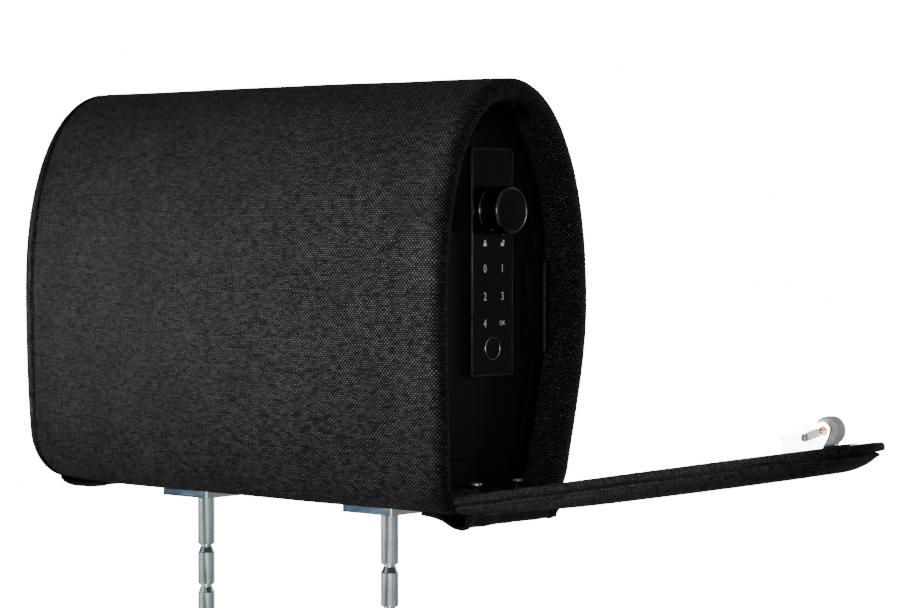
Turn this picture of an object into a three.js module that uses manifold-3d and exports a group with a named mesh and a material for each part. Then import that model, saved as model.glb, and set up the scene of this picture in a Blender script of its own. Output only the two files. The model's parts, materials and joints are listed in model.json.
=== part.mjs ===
// A headrest with a steel safe inside, on two notched posts.
// Millimetres, +X towards the open end, +Y towards the back of the headrest, +Z up.
// The origin lies midway between the posts, on the plane under their brackets.

import * as THREE from 'three';
import { mergeVertices } from 'three/addons/utils/BufferGeometryUtils.js';
import Module from 'manifold-3d';

const wasm = await Module();
wasm.setup();

// Driving sizes
const fit = { gap: 0.3, run: 0.5, overrun: 5, weld: 0.0001 };
const post = {
  radius: 5, spacing: 149, length: 168, tip: 1.6, seat: 0.3,
  notchTop: 27.8, notchPitch: 23.9, notchCount: 5, notchDepth: 1.8, shoulder: 0.9, neck: 1.1, ramp: 2.2,
};
const bracket = {
  length: 38.5, width: 40, thickness: 6, corner: 2, endMargin: 9.5, frontMargin: 9,
  boltRadius: 3, boltTip: 1, boltInset: 8, boltSpan: 20, headRadius: 5.6, headHeight: 4, bossWall: 1.6,
};
const body = {
  height: 236.5, depth: 125, length: 329.4, mouthX: 149.4, midY: 18.6, widestZ: 110.2,
  frontCorner: 16, backCorner: 26, frontFoot: 60, backFoot: 46, leanDegrees: 12,
};
const wall = { fabric: 1.5, foam: 6.1, steel: 2 };
const recess = { depth: 17.6 };
const leftEnd = { board: 2.8, foam: 4.3, pad: 10, crown: 2.2, rounding: 7.5, piping: 1.6, pipingInset: 1.6 };
const frameFront = { plate: 2.1, flange: 18, stopPlate: 2.2, stopReach: 2.4, rim: 20, sillRise: 27.9 };
const mat = { thickness: 2.5, endGap: 8, frameGap: 13.7, front: 28, back: 18 };
const door = { thickness: 2.5, fold: 3.1, foldInset: 3.1, foldWall: 2 };
const doorHinge = {
  radius: 2.2, pin: 1.1, leaf: 1.2, knuckles: 5, knuckleHeight: 10, leafWidth: 15, out: 3, edge: 5.4,
};
const lock = {
  width: 35.2, sillRise: 44.9, topDrop: 17.4, thickness: 2.4, corner: 2, bezel: 1, faceThickness: 0.9, faceSink: 0.2,
  knobDrop: 34.4, knobRadius: 13.4, knobHeight: 14.4, knobBase: 1.2, capRadius: 11.6, capSink: 0.8, edge: 1.2,
  spindle: 4, bush: 8, nutRadius: 10.5, nutHeight: 3, grubRadius: 1.1,
  camLength: 40.5, camWidth: 16, camTip: 9, camThickness: 2.2, camNut: 3.4, camNutHeight: 1.6,
  readerRise: 15.2, readerRadius: 6.4, readerRing: 0.9, readerProud: 0.3, readerHeight: 0.9,
};
const electronics = {
  width: 40, height: 76, knobGap: 4, depth: 23, wall: 2, boardThickness: 1.6,
  boardBack: 3, cellRadius: 5.25, cellLength: 44.5, cells: 3, cellPitch: 10.4, wrap: 6, coverThickness: 1.6,
  coverHeight: 52,
};
const flapHinge = {
  depth: 5.5, mouthGap: 0.9, openDegrees: 80.5, eye: 3.2, pin: 1.5, armWidth: 6, armThickness: 1.4, tieWidth: 4,
  armReach: 21.8, armPitch: 17.5, arms: 3, offsetY: -1.1, leafLength: 26, leafThickness: 1.3, leafWidth: 46,
  screwRadius: 1.5, screwHead: 2.8, screwHeadHeight: 0.9, screwRise: 17, screwSpan: 30, screwDepth: 3.2,
  notchLength: 9.8, notchDepth: 9.3, armLanding: 4, barrelRoom: 0.4,
};
const flap = { board: 4.5, roll: 1.6, backEdge: 0.8, pad: 8.4, padInset: 1.2, rounding: 5 };
// The pad's rings from the board outwards: how far the tip is drawn in, and how far the middle rises
const padTaper = { start: 1.4, wall: 2.6, edge: 7, face: 11, crown: 0.6 };
const roller = { radius: 7.2, halfLength: 4, tip: 1, stand: 8.8, axle: 1.9 };
const slot = { length: 11.5, slopeDegrees: 9.5, halfWidth: 2.2, travel: 7.3 };
// The catch's side outline about the axle: along the flap, and up from it
const catchBox = {
  rear: [[-25.4, -8.5], [-25.4, 0.4], [-9.7, 4.1], [-8.4, 3.1]], nose: 4.8, front: [[2.3, -4.2], [0, -6.6], [-1.3, -8.5]],
  halfWidth: 6.8, sheet: 1.2, wallTop: 0.7, windowBack: 16.5, windowHalf: 4.6,
  rivet: 1.4, rivetHead: 2.2, rivetHeight: 0.8, rivetBack: 21, rivetOut: 3, rivetDepth: 3,
};
const carrier = { cheek: 1, tab: 3.4, web: 2.2, webHeight: 6.4, webGap: 0.8, axleHead: 2.6, axleHeadHeight: 0.5 };
const spring = { radius: 2.2, wire: 0.35, turns: 7, room: 0.4 };
const bumper = { back: 0.5, length: 11.2, width: 14, thickness: 0.6 };
const strike = {
  lip: 0.8, lipGap: 0.3, lipRise: 3.1, lipHeight: 4.1, width: 27, roomHalf: 7.8, tab: 1.3, tabReach: 14,
  screw: 1.2, screwHead: 2.3, screwHeadHeight: 0.8, screwLength: 7, screwBack: 8,
};
// Strips under the ends; a fall gives distance before the hinge, or in from the closed end, and depth below the floor
const strip = {
  thickness: 1, midY: 12, width: 74, fall: [[34.8, 0], [21.8, 0.7], [9.8, 4.2], [5.8, 4.9]], reach: [-2.6, 1.2, 5],
  endMidY: 16.5, endWidth: 76, endFall: [[-9.6, -2.5], [-7, 2.1], [2, 3.9], [22, 3.5], [36, 1.3], [38.5, 0.2]],
};

// Shares of the section's size
const archShares = { shoulder: 0.62, crown: 0.6 };
const crownShares = { midRise: 0.6, midWidth: 0.72, topWidth: 0.4 };
const sideShares = { front: 0.3, frontFoot: 0.34, back: 0.33 };
const samples = {
  arch: 12, side: 4, corner: 5, floor: 2, round: 20, small: 12, hex: 6, roll: 7, bead: 4, coil: 7, wire: 5, strip: 12,
};

// Places worked out from the driving sizes
const floorZ = bracket.thickness + fit.gap;
const topZ = floorZ + body.height;
const widestZ = floorZ + body.widestZ;
const leftX = body.mouthX - body.length;
const mouthX = body.mouthX;
const inset = {};
inset.foamOut = wall.fabric + fit.gap;
inset.foamIn = inset.foamOut + wall.foam;
inset.steelOut = inset.foamIn + fit.gap;
inset.steelIn = inset.steelOut + wall.steel;
inset.liningOut = inset.steelIn + fit.gap;
inset.liningIn = inset.liningOut + wall.fabric;
const rollRadius = inset.liningIn / 2;
const rollX = mouthX - rollRadius;
const shellEndX = rollX - fit.gap;
const frameX = mouthX - recess.depth;
const doorX = frameX + fit.gap;
const boardX = leftX + leftEnd.board;
const endPlateX = boardX + fit.gap + leftEnd.foam + fit.gap;
const shellX = endPlateX + wall.steel + fit.gap;
const midPoint = new THREE.Vector2(body.midY, widestZ);

// Solids
function toSolid(geometry) {
  const plain = new THREE.BufferGeometry();
  plain.setAttribute('position', geometry.getAttribute('position'));
  if (geometry.index) plain.setIndex(geometry.index);
  const merged = mergeVertices(plain, fit.weld);
  return new wasm.Manifold(new wasm.Mesh({
    numProp: 3,
    vertProperties: new Float32Array(merged.getAttribute('position').array),
    triVerts: new Uint32Array(merged.index.array),
  }));
}

function toGeometry(solid) {
  const mesh = solid.getMesh();
  const geometry = new THREE.BufferGeometry();
  geometry.setAttribute('position', new THREE.BufferAttribute(new Float32Array(mesh.vertProperties), 3));
  geometry.setIndex(new THREE.BufferAttribute(new Uint32Array(mesh.triVerts), 1));
  geometry.computeVertexNormals();
  return geometry;
}

function join(first, ...others) {
  return others.reduce((all, solid) => all.add(solid), first);
}

function cut(first, ...tools) {
  return tools.reduce((rest, tool) => rest.subtract(tool), first);
}

function block(low, high) {
  const size = new THREE.Vector3().subVectors(high, low);
  const geometry = new THREE.BoxGeometry(size.x, size.y, size.z);
  geometry.translate((low.x + high.x) / 2, (low.y + high.y) / 2, (low.z + high.z) / 2);
  return toSolid(geometry);
}

function at(x, y, z) {
  return new THREE.Vector3(x, y, z);
}

// A round bar between two points, with its own radius at each end
function rod(from, to, radius, endRadius = radius, sides = samples.small) {
  const along = new THREE.Vector3().subVectors(to, from);
  const geometry = new THREE.CylinderGeometry(endRadius, radius, along.length(), sides);
  const turn = new THREE.Quaternion().setFromUnitVectors(at(0, 1, 0), along.clone().normalize());
  geometry.applyQuaternion(turn);
  geometry.translate((from.x + to.x) / 2, (from.y + to.y) / 2, (from.z + to.z) / 2);
  return toSolid(geometry);
}

function roundedShape(width, height, radius) {
  const shape = new THREE.Shape();
  const x = width / 2;
  const y = height / 2;
  shape.moveTo(-x + radius, -y);
  shape.lineTo(x - radius, -y);
  shape.absarc(x - radius, -y + radius, radius, -Math.PI / 2, 0);
  shape.lineTo(x, y - radius);
  shape.absarc(x - radius, y - radius, radius, 0, Math.PI / 2);
  shape.lineTo(-x + radius, y);
  shape.absarc(-x + radius, y - radius, radius, Math.PI / 2, Math.PI);
  shape.lineTo(-x, -y + radius);
  shape.absarc(-x + radius, -y + radius, radius, Math.PI, 1.5 * Math.PI);
  return shape;
}

function polygon(points) {
  return new THREE.Shape(points.map(([a, b]) => new THREE.Vector2(a, b)));
}

// Outlines drawn in (Y, Z) and pushed out along X
const alongX = new THREE.Matrix4().makeBasis(at(0, 1, 0), at(0, 0, 1), at(1, 0, 0));
// Outlines drawn in (X, Z) and pushed out along -Y
const alongY = new THREE.Matrix4().makeBasis(at(1, 0, 0), at(0, 0, 1), at(0, -1, 0));

function pushed(shape, basis, length, curveSegments = samples.corner, bevel = 0) {
  const geometry = new THREE.ExtrudeGeometry(shape, {
    depth: length - 2 * bevel, curveSegments, bevelEnabled: bevel > 0,
    bevelThickness: bevel, bevelSize: bevel, bevelOffset: -bevel, bevelSegments: 2,
  });
  geometry.translate(0, 0, bevel);
  geometry.applyMatrix4(basis);
  return toSolid(geometry);
}

function plateX(shape, fromX, toX, bevel = 0, curveSegments = samples.corner) {
  return pushed(shape, alongX, toX - fromX, curveSegments, bevel).translate([fromX, 0, 0]);
}

function plateY(shape, fromY, toY, curveSegments = samples.corner) {
  return pushed(shape, alongY, toY - fromY, curveSegments).translate([0, toY, 0]);
}

// The headrest's section, seen from the open end: an arch on a rounded foot, leaning in at the back
const section = sampleSection();

function sampleSection() {
  const half = body.depth / 2;
  const lean = THREE.MathUtils.degToRad(body.leanDegrees);
  const front = new THREE.Vector2(body.midY - half, widestZ);
  const back = new THREE.Vector2(body.midY + half, widestZ);
  const apex = new THREE.Vector2(body.midY, topZ);
  const archRise = topZ - widestZ;
  const footZ = floorZ + body.frontCorner;
  const footY = body.midY - body.frontFoot;
  const sideRise = widestZ - footZ;
  const backMid = new THREE.Vector2(body.midY + body.backFoot - body.backCorner, floorZ + body.backCorner);
  const backEnd = new THREE.Vector2(
    backMid.x + body.backCorner * Math.cos(lean), backMid.y - body.backCorner * Math.sin(lean));
  const backRise = (widestZ - backEnd.y) * sideShares.back;
  const shoulder = archRise * archShares.shoulder;
  const crown = half * archShares.crown;
  const v = (y, z) => new THREE.Vector2(y, z);
  const curves = [
    [new THREE.CubicBezierCurve(apex, v(apex.x - crown, topZ), v(front.x, widestZ + shoulder), front), samples.arch],
    [new THREE.CubicBezierCurve(front, v(front.x, widestZ - sideRise * sideShares.front),
      v(footY, footZ + sideRise * sideShares.frontFoot), v(footY, footZ)), samples.side],
    [new THREE.EllipseCurve(footY + body.frontCorner, footZ, body.frontCorner, body.frontCorner,
      Math.PI, 1.5 * Math.PI), samples.corner],
    [new THREE.LineCurve(v(footY + body.frontCorner, floorZ), v(backMid.x, floorZ)), samples.floor],
    [new THREE.EllipseCurve(backMid.x, backMid.y, body.backCorner, body.backCorner, -Math.PI / 2, -lean), samples.corner],
    [new THREE.CubicBezierCurve(backEnd, v(backEnd.x + backRise * Math.sin(lean), backEnd.y + backRise * Math.cos(lean)),
      v(back.x, widestZ - backRise), back), samples.side],
    [new THREE.CubicBezierCurve(back, v(back.x, widestZ + shoulder), v(apex.x + crown, topZ), apex), samples.arch],
  ];
  return curves.flatMap(([curve, count]) => Array.from({ length: count }, (_, i) => {
    const along = curve.getTangent(i / count);
    return { point: curve.getPoint(i / count), out: new THREE.Vector2(along.y, -along.x) };
  }));
}

function sectionAt(depth, share = 1) {
  return section.map(({ point, out }) => point.clone().addScaledVector(out, -depth).sub(midPoint)
    .multiplyScalar(share).add(midPoint));
}

// Where the outline at this depth crosses a line: its roof above a Y, or its back side at a Z
function crossing(depth, axis, value) {
  const points = sectionAt(depth);
  const other = axis === 'x' ? 'y' : 'x';
  const found = points.flatMap((a, i) => {
    const b = points[(i + 1) % points.length];
    if ((a[axis] - value) * (b[axis] - value) > 0 || a[axis] === b[axis]) return [];
    return [a[other] + (b[other] - a[other]) * (value - a[axis]) / (b[axis] - a[axis])];
  });
  return Math.max(...found);
}

function sectionShape(depth) {
  const outline = sectionAt(depth).map((p) => [p.x, p.y]);
  return polygon(new wasm.CrossSection([outline], 'Positive').toPolygons()[0]);
}

function ring(x, depth, share = 1) {
  return sectionAt(depth, share).map((p) => at(x, p.x, p.y));
}

// A skin over rings of equal count: the last ring joins the first, or each end narrows to one point
function skin(rings, looped) {
  const count = Math.max(...rings.map((r) => r.length));
  const positions = rings.flatMap((r) => r.flatMap((p) => [p.x, p.y, p.z]));
  const starts = [];
  rings.reduce((sum, r) => { starts.push(sum); return sum + r.length; }, 0);
  const index = [];
  const last = looped ? rings.length : rings.length - 1;
  for (let i = 0; i < last; i += 1) {
    const next = (i + 1) % rings.length;
    for (let j = 0; j < count; j += 1) {
      const k = (j + 1) % count;
      const a = starts[i] + (rings[i].length > 1 ? j : 0);
      const b = starts[i] + (rings[i].length > 1 ? k : 0);
      const c = starts[next] + (rings[next].length > 1 ? j : 0);
      const d = starts[next] + (rings[next].length > 1 ? k : 0);
      if (a !== b) index.push(a, b, d);
      if (c !== d) index.push(a, d, c);
    }
  }
  const geometry = new THREE.BufferGeometry();
  geometry.setAttribute('position', new THREE.Float32BufferAttribute(positions, 3));
  geometry.setIndex(signedVolume(positions, index) > 0 ? index : index.reverse());
  return toSolid(geometry);
}

function signedVolume(positions, index) {
  const p = (i) => at(positions[3 * i], positions[3 * i + 1], positions[3 * i + 2]);
  let sum = 0;
  for (let i = 0; i < index.length; i += 3) sum += p(index[i]).dot(p(index[i + 1]).cross(p(index[i + 2])));
  return sum;
}

// A sleeve round the section from a closed profile of [x, depth below the outer skin]
function sleeve(profile) {
  return skin(profile.map(([x, depth]) => ring(x, depth)), true);
}

// A closed slab across the section: [x, depth, share of its width, how far its top is drawn in]
function slab(profile) {
  const first = profile[0][0];
  const last = profile[profile.length - 1][0];
  const tip = (x) => [at(x, midPoint.x, midPoint.y)];
  const drawnIn = (points, drop) => points.map((p) => at(p.x, p.y, p.z - drop * (p.z - floorZ) / body.height));
  return skin([tip(first), ...profile.map(([x, depth, share, drop = 0]) => drawnIn(ring(x, depth, share), drop)),
    tip(last)], false);
}

function arcPoints(x, depth, radius, from, to, steps) {
  return Array.from({ length: steps + 1 }, (_, i) => {
    const angle = THREE.MathUtils.degToRad(from + (to - from) * i / steps);
    return [x + radius * Math.cos(angle), depth + radius * Math.sin(angle)];
  });
}

// Materials and naming
const finishes = {
  weave: { color: 0x232325, roughness: 0.95 },
  foam: { color: 0x3a3a3c, roughness: 1 },
  board: { color: 0x5b4a38, roughness: 0.9 },
  blackSteel: { color: 0x101012, roughness: 0.45, metalness: 0.3 },
  zinc: { color: 0xa9b1b8, roughness: 0.35, metalness: 0.9 },
  bright: { color: 0xe6e2de, roughness: 0.25, metalness: 0.9 },
  copper: { color: 0xb87a55, roughness: 0.3, metalness: 0.9 },
  gloss: { color: 0x08080a, roughness: 0.12 },
  satin: { color: 0x0e0e10, roughness: 0.4 },
  roller: { color: 0x9b9ba0, roughness: 0.55 },
  rubber: { color: 0x141414, roughness: 0.9 },
  felt: { color: 0x1a1a1c, roughness: 1 },
  green: { color: 0x1f5a34, roughness: 0.5 },
  cell: { color: 0x2c2f33, roughness: 0.4, metalness: 0.4 },
};

function piece(group, name, finish, solid) {
  const mesh = new THREE.Mesh(toGeometry(solid), new THREE.MeshStandardMaterial(finishes[finish]));
  mesh.name = name;
  group.add(mesh);
  return mesh;
}

const headrest = new THREE.Group();

// Cover, padding and steel walls
const recessFloorZ = floorZ + inset.liningIn;
const hingeX = mouthX + flapHinge.mouthGap + flapHinge.depth;
const hingeZ = floorZ + flapHinge.depth;
const hingeMidY = body.midY + flapHinge.offsetY;
const faceX = hingeX - flapHinge.depth;
const pinX = faceX - roller.stand;
const lipTopZ = crossing(inset.liningIn, 'x', body.midY + strike.width / 2) - fit.gap - fit.gap;
const strikeLowZ = lipTopZ - strike.lipHeight;
const pinZ = strikeLowZ - strike.lipRise;
const armYs = Array.from({ length: flapHinge.arms }, (_, i) => hingeMidY
  + (i - (flapHinge.arms - 1) / 2) * flapHinge.armPitch);
const armTopZ = recessFloorZ + fit.gap + flapHinge.armThickness;
const armScrewX = rollX - flapHinge.armLanding;
const armScrewYs = [armYs[0], armYs[armYs.length - 1]];
const strikeX = faceX - fit.gap - bumper.thickness - strike.lipGap - strike.lip;
const tabZ = lipTopZ - strike.tab;
const strikeScrews = [-1, 1].map((side) => at(strikeX - strike.screwBack,
  body.midY + side * (strike.roomHalf + strike.width / 2) / 2, tabZ));
const boltPlaces = [-1, 1].map((side) => new THREE.Vector2(
  -bracket.length + bracket.endMargin + bracket.boltInset, bracket.width / 2 - bracket.frontMargin
  + side * bracket.boltSpan / 2));
const postXs = [-post.spacing / 2, post.spacing / 2];
const bossRadius = bracket.boltRadius + fit.gap + bracket.bossWall;

function strikeHoles(radius) {
  return strikeScrews.map((s) => rod(at(s.x, s.y, s.z), at(s.x, s.y, s.z + strike.screwLength + fit.gap), radius));
}

function armHoles(radius) {
  return armScrewYs.map((y) => rod(
    at(armScrewX, y, floorZ + inset.foamIn - fit.gap), at(armScrewX, y, armTopZ + fit.gap), radius));
}

function boltHoles(radius) {
  return postXs.flatMap((x) => boltPlaces.map((s) => rod(
    at(x + s.x, s.y, -fit.overrun), at(x + s.x, s.y, floorZ + inset.liningIn + fit.overrun), radius)));
}

const screwRoom = { strike: strike.screw + fit.gap, arm: flapHinge.screwRadius + fit.gap };
const coverSolid = sleeve([
  [leftX, 0],
  ...arcPoints(rollX, rollRadius, rollRadius, -90, 90, samples.roll),
  [frameX + fit.gap, inset.liningIn],
  [frameX + fit.gap, inset.liningOut],
  ...arcPoints(rollX, rollRadius, rollRadius - wall.fabric, 90, -90, samples.roll),
  [leftX, wall.fabric],
]);
piece(headrest, 'fabric_cover', 'weave', cut(coverSolid,
  ...strikeHoles(screwRoom.strike), ...armHoles(screwRoom.arm), ...boltHoles(bossRadius + fit.gap)));

const beadRadius = rollRadius - wall.fabric - fit.gap;
piece(headrest, 'foam_sleeve', 'foam', cut(sleeve([
  [boardX + fit.gap, inset.foamOut],
  ...arcPoints(rollX, rollRadius, beadRadius, -90, 90, samples.bead),
  [rollX, inset.foamIn],
  [boardX + fit.gap, inset.foamIn],
]), ...strikeHoles(screwRoom.strike), ...armHoles(screwRoom.arm), ...boltHoles(bossRadius + fit.gap)));

piece(headrest, 'end_foam', 'foam', plateX(sectionShape(inset.steelOut), boardX + fit.gap, endPlateX - fit.gap));
piece(headrest, 'left_board', 'board', plateX(sectionShape(inset.foamOut), leftX, boardX));
piece(headrest, 'safe_end_plate', 'blackSteel',
  plateX(sectionShape(inset.steelOut), endPlateX, endPlateX + wall.steel));
piece(headrest, 'safe_shell', 'blackSteel', cut(sleeve([
  [shellX, inset.steelOut], [shellEndX, inset.steelOut], [shellEndX, inset.steelIn], [shellX, inset.steelIn],
]), ...strikeHoles(screwRoom.strike), ...armHoles(screwRoom.arm), ...boltHoles(bracket.boltRadius + fit.gap)));

// Closed end: crowned cushion with a welt between it and the cover
const padX = leftX - fit.gap;
const weltX = padX - fit.gap - leftEnd.piping;
const rebateX = weltX - leftEnd.piping - fit.gap;
const rebateInset = leftEnd.pipingInset + leftEnd.piping + fit.gap;
const cushionX = padX - leftEnd.pad;
piece(headrest, 'left_piping', 'weave', sleeve(
  arcPoints(weltX, leftEnd.pipingInset, leftEnd.piping, 0, 360, samples.hex).slice(1)));
piece(headrest, 'left_pad', 'weave', slab([
  [padX, rebateInset, 1],
  [rebateX, rebateInset, 1],
  ...arcPoints(cushionX + leftEnd.rounding, leftEnd.rounding, leftEnd.rounding, 270, 180, samples.corner)
    .map(([x, depth]) => [Math.min(x, rebateX - fit.gap), depth, 1]),
  [cushionX - leftEnd.crown * crownShares.midRise, leftEnd.rounding, crownShares.midWidth],
  [cushionX - leftEnd.crown, leftEnd.rounding, crownShares.topWidth],
]));

// Door frame: a flanged ring with a stop behind the door's edge
const doorFloorZ = floorZ + frameFront.sillRise;

function doorway(depth, floor, fromX, toX) {
  const roomy = plateX(sectionShape(depth), fromX, toX);
  const below = block(at(fromX - fit.overrun, -body.depth, -body.height), at(toX + fit.overrun, body.depth + body.midY, floor));
  return cut(roomy, below);
}

const frameBackX = frameX - frameFront.plate;
const stopX = doorX - door.thickness - fit.gap - frameFront.stopPlate;
const frameSolid = cut(
  join(
    plateX(sectionShape(inset.liningOut), frameX - frameFront.flange, frameX),
  ),
  cut(plateX(sectionShape(inset.liningOut + wall.steel), frameX - frameFront.flange - fit.overrun, frameBackX),
    cut(plateX(sectionShape(inset.liningOut + wall.steel - fit.gap), stopX, stopX + frameFront.stopPlate),
      doorway(frameFront.rim + frameFront.stopReach, doorFloorZ + frameFront.stopReach,
        stopX - fit.overrun, stopX + frameFront.stopPlate + fit.overrun))),
  doorway(frameFront.rim, doorFloorZ, stopX + frameFront.stopPlate, frameX + fit.overrun),
);
piece(headrest, 'door_frame', 'blackSteel', frameSolid);

const matBase = floorZ + inset.steelIn + fit.gap;
piece(headrest, 'floor_mat', 'felt', cut(block(
  at(shellX + mat.endGap, body.midY - mat.front, matBase),
  at(frameX - frameFront.flange - mat.frameGap, body.midY + mat.back, matBase + mat.thickness)),
...boltHoles(bracket.headRadius + fit.run)));

// Posts: a chamfered bar with ratchet notches, each a sharp shoulder above a ramp
function postSolid() {
  const { radius, length, tip, notchTop, notchPitch, notchCount, notchDepth, shoulder, neck, ramp } = post;
  const root = radius - notchDepth;
  const profile = [[0, bracket.thickness - fit.gap], [radius, bracket.thickness - fit.gap]];
  for (let i = 0; i < notchCount; i += 1) {
    const z = -notchTop - i * notchPitch;
    profile.push([radius, z], [root, z - shoulder], [root, z - shoulder - neck], [radius, z - shoulder - neck - ramp]);
  }
  profile.push([radius, tip - length], [radius - tip, -length], [0, -length]);
  const lathe = new THREE.LatheGeometry(profile.reverse().map(([r, z]) => new THREE.Vector2(r, z)), samples.round);
  lathe.rotateX(Math.PI / 2);
  return toSolid(lathe);
}

const shellFloorZ = floorZ + inset.steelOut;
const headZ = floorZ + inset.steelIn + fit.gap;

// Plate under the cover, with bosses that stand through the padding to the steel floor
function bracketSolid() {
  const plate = pushed(roundedShape(bracket.length, bracket.width, bracket.corner), new THREE.Matrix4(),
    bracket.thickness).translate([bracket.endMargin - bracket.length / 2, bracket.width / 2 - bracket.frontMargin, 0]);
  const bosses = boltPlaces.map((s) => rod(
    at(s.x, s.y, bracket.thickness / 2), at(s.x, s.y, shellFloorZ - fit.gap), bossRadius));
  const postHole = rod(at(0, 0, -fit.overrun), at(0, 0, bracket.thickness + fit.overrun), post.radius + fit.gap,
    undefined, samples.round);
  return cut(join(plate, ...bosses), postHole, ...boltPlaces.map((s) => rod(
    at(s.x, s.y, bracket.boltTip), at(s.x, s.y, shellFloorZ), bracket.boltRadius + fit.gap)));
}

function boltSolid(place) {
  return join(
    rod(at(place.x, place.y, bracket.boltTip + fit.gap), at(place.x, place.y, headZ + bracket.headHeight / 2),
      bracket.boltRadius),
    rod(at(place.x, place.y, headZ), at(place.x, place.y, headZ + bracket.headHeight), bracket.headRadius,
      bracket.headRadius, samples.hex),
  );
}

['left', 'right'].forEach((side, i) => {
  const mount = new THREE.Group();
  mount.position.x = postXs[i];
  headrest.add(mount);
  piece(mount, `post_${side}`, 'zinc', postSolid());
  piece(mount, `post_bracket_${side}`, 'zinc', bracketSolid());
  ['front', 'back'].forEach((edge, k) => piece(mount, `bracket_bolt_${side}_${edge}`, 'zinc', boltSolid(boltPlaces[k])));
});

// Fixed half of the flap's hinge: straps that step over the rolled mouth to the pin
function strap(y) {
  const half = flapHinge.armWidth / 2;
  const low = recessFloorZ + fit.gap;
  const bendX = rollX + flapHinge.armThickness;
  const down = new THREE.Vector2(hingeX - bendX, hingeZ - low);
  const across = new THREE.Vector2(-down.y, down.x).setLength(flapHinge.armThickness);
  const side = plateY(polygon([
    [hingeX - flapHinge.armReach, low], [bendX, low], [hingeX, hingeZ],
    [hingeX + across.x, hingeZ + across.y], [bendX + across.x, armTopZ], [hingeX - flapHinge.armReach, armTopZ],
  ]), y - half, y + half);
  const eye = rod(at(hingeX, y - half, hingeZ), at(hingeX, y + half, hingeZ), flapHinge.eye, undefined, samples.round);
  const bore = rod(at(hingeX, y - half - fit.overrun, hingeZ), at(hingeX, y + half + fit.overrun, hingeZ),
    flapHinge.pin + fit.gap);
  return cut(join(side, eye), bore);
}

const pinHalf = (flapHinge.armPitch * (flapHinge.arms - 1) + flapHinge.armWidth) / 2 + fit.run;
const tieX = hingeX - flapHinge.armReach;
const tieBar = block(at(tieX, armYs[0] - flapHinge.armWidth / 2, recessFloorZ + fit.gap),
  at(tieX + flapHinge.tieWidth, armYs[armYs.length - 1] + flapHinge.armWidth / 2, armTopZ));
piece(headrest, 'hinge_arms', 'blackSteel', cut(join(tieBar, ...armYs.map(strap)), ...armHoles(screwRoom.arm)));
piece(headrest, 'hinge_pin', 'zinc', rod(
  at(hingeX, hingeMidY - pinHalf, hingeZ), at(hingeX, hingeMidY + pinHalf, hingeZ), flapHinge.pin));
['front', 'back'].forEach((edge, k) => {
  const headLowZ = armTopZ + fit.gap;
  piece(headrest, `hinge_arm_screw_${edge}`, 'zinc', join(
    rod(at(armScrewX, armScrewYs[k], floorZ + inset.foamIn), at(armScrewX, armScrewYs[k], headLowZ + fit.gap),
      flapHinge.screwRadius),
    rod(at(armScrewX, armScrewYs[k], headLowZ), at(armScrewX, armScrewYs[k], headLowZ + flapHinge.screwHeadHeight),
      flapHinge.screwHead)));
});

// The lip that the flap's roller snaps behind
const strikeHalf = strike.width / 2;
const tabSolids = [-1, 1].map((side) => {
  const ys = [strike.roomHalf, strikeHalf].map((y) => body.midY + side * y).sort((a, b) => a - b);
  return block(at(strikeX - strike.tabReach, ys[0], tabZ), at(strikeX + strike.lip / 2, ys[1], lipTopZ));
});
const lipSolid = block(at(strikeX, body.midY - strikeHalf, strikeLowZ),
  at(strikeX + strike.lip, body.midY + strikeHalf, lipTopZ));
piece(headrest, 'catch_strike', 'blackSteel', cut(join(lipSolid, ...tabSolids), ...strikeScrews.map((s) => rod(
  at(s.x, s.y, s.z - fit.overrun), at(s.x, s.y, s.z + fit.overrun), screwRoom.strike))));
['front', 'back'].forEach((edge, k) => {
  const s = strikeScrews[k];
  const headTopZ = s.z - fit.gap;
  piece(headrest, `strike_screw_${edge}`, 'blackSteel', join(
    rod(at(s.x, s.y, headTopZ - strike.screwHeadHeight), at(s.x, s.y, headTopZ), strike.screwHead),
    rod(at(s.x, s.y, headTopZ - strike.screwHeadHeight / 2), at(s.x, s.y, s.z + strike.screwLength), strike.screw)));
});

// A place on the open flap, from its distances beyond the pin and along the flap
const openAngle = THREE.MathUtils.degToRad(flapHinge.openDegrees);

function onOpenFlap(out, along) {
  return [hingeX + out * Math.cos(openAngle) + along * Math.sin(openAngle),
    hingeZ - out * Math.sin(openAngle) + along * Math.cos(openAngle)];
}

function ribbon(centreLine, midY, width) {
  const curve = new THREE.CatmullRomCurve3(centreLine.map(([x, z]) => at(x, 0, z)), false, 'centripetal');
  const edge = (side) => Array.from({ length: samples.strip + 1 }, (_, i) => {
    const p = curve.getPoint(i / samples.strip);
    const t = curve.getTangent(i / samples.strip);
    return [p.x - t.z * side * strip.thickness / 2, p.z + t.x * side * strip.thickness / 2];
  });
  return plateY(polygon([...edge(1), ...edge(-1).reverse()]), midY - width / 2, midY + width / 2);
}

const ribbonZ = floorZ - fit.gap - strip.thickness / 2;
const stripOut = flap.board + flap.pad + padTaper.crown + fit.gap + fit.gap + strip.thickness / 2 - flapHinge.depth;
piece(headrest, 'hinge_strip', 'weave', ribbon([
  ...strip.fall.map(([back, drop]) => [hingeX - back, ribbonZ - drop]),
  ...strip.reach.map((along) => onOpenFlap(stripOut, along)),
], strip.midY, strip.width));
piece(headrest, 'end_strip', 'weave', ribbon(
  strip.endFall.map(([inward, drop]) => [leftX + inward, ribbonZ - drop]), strip.endMidY, strip.endWidth));

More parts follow.
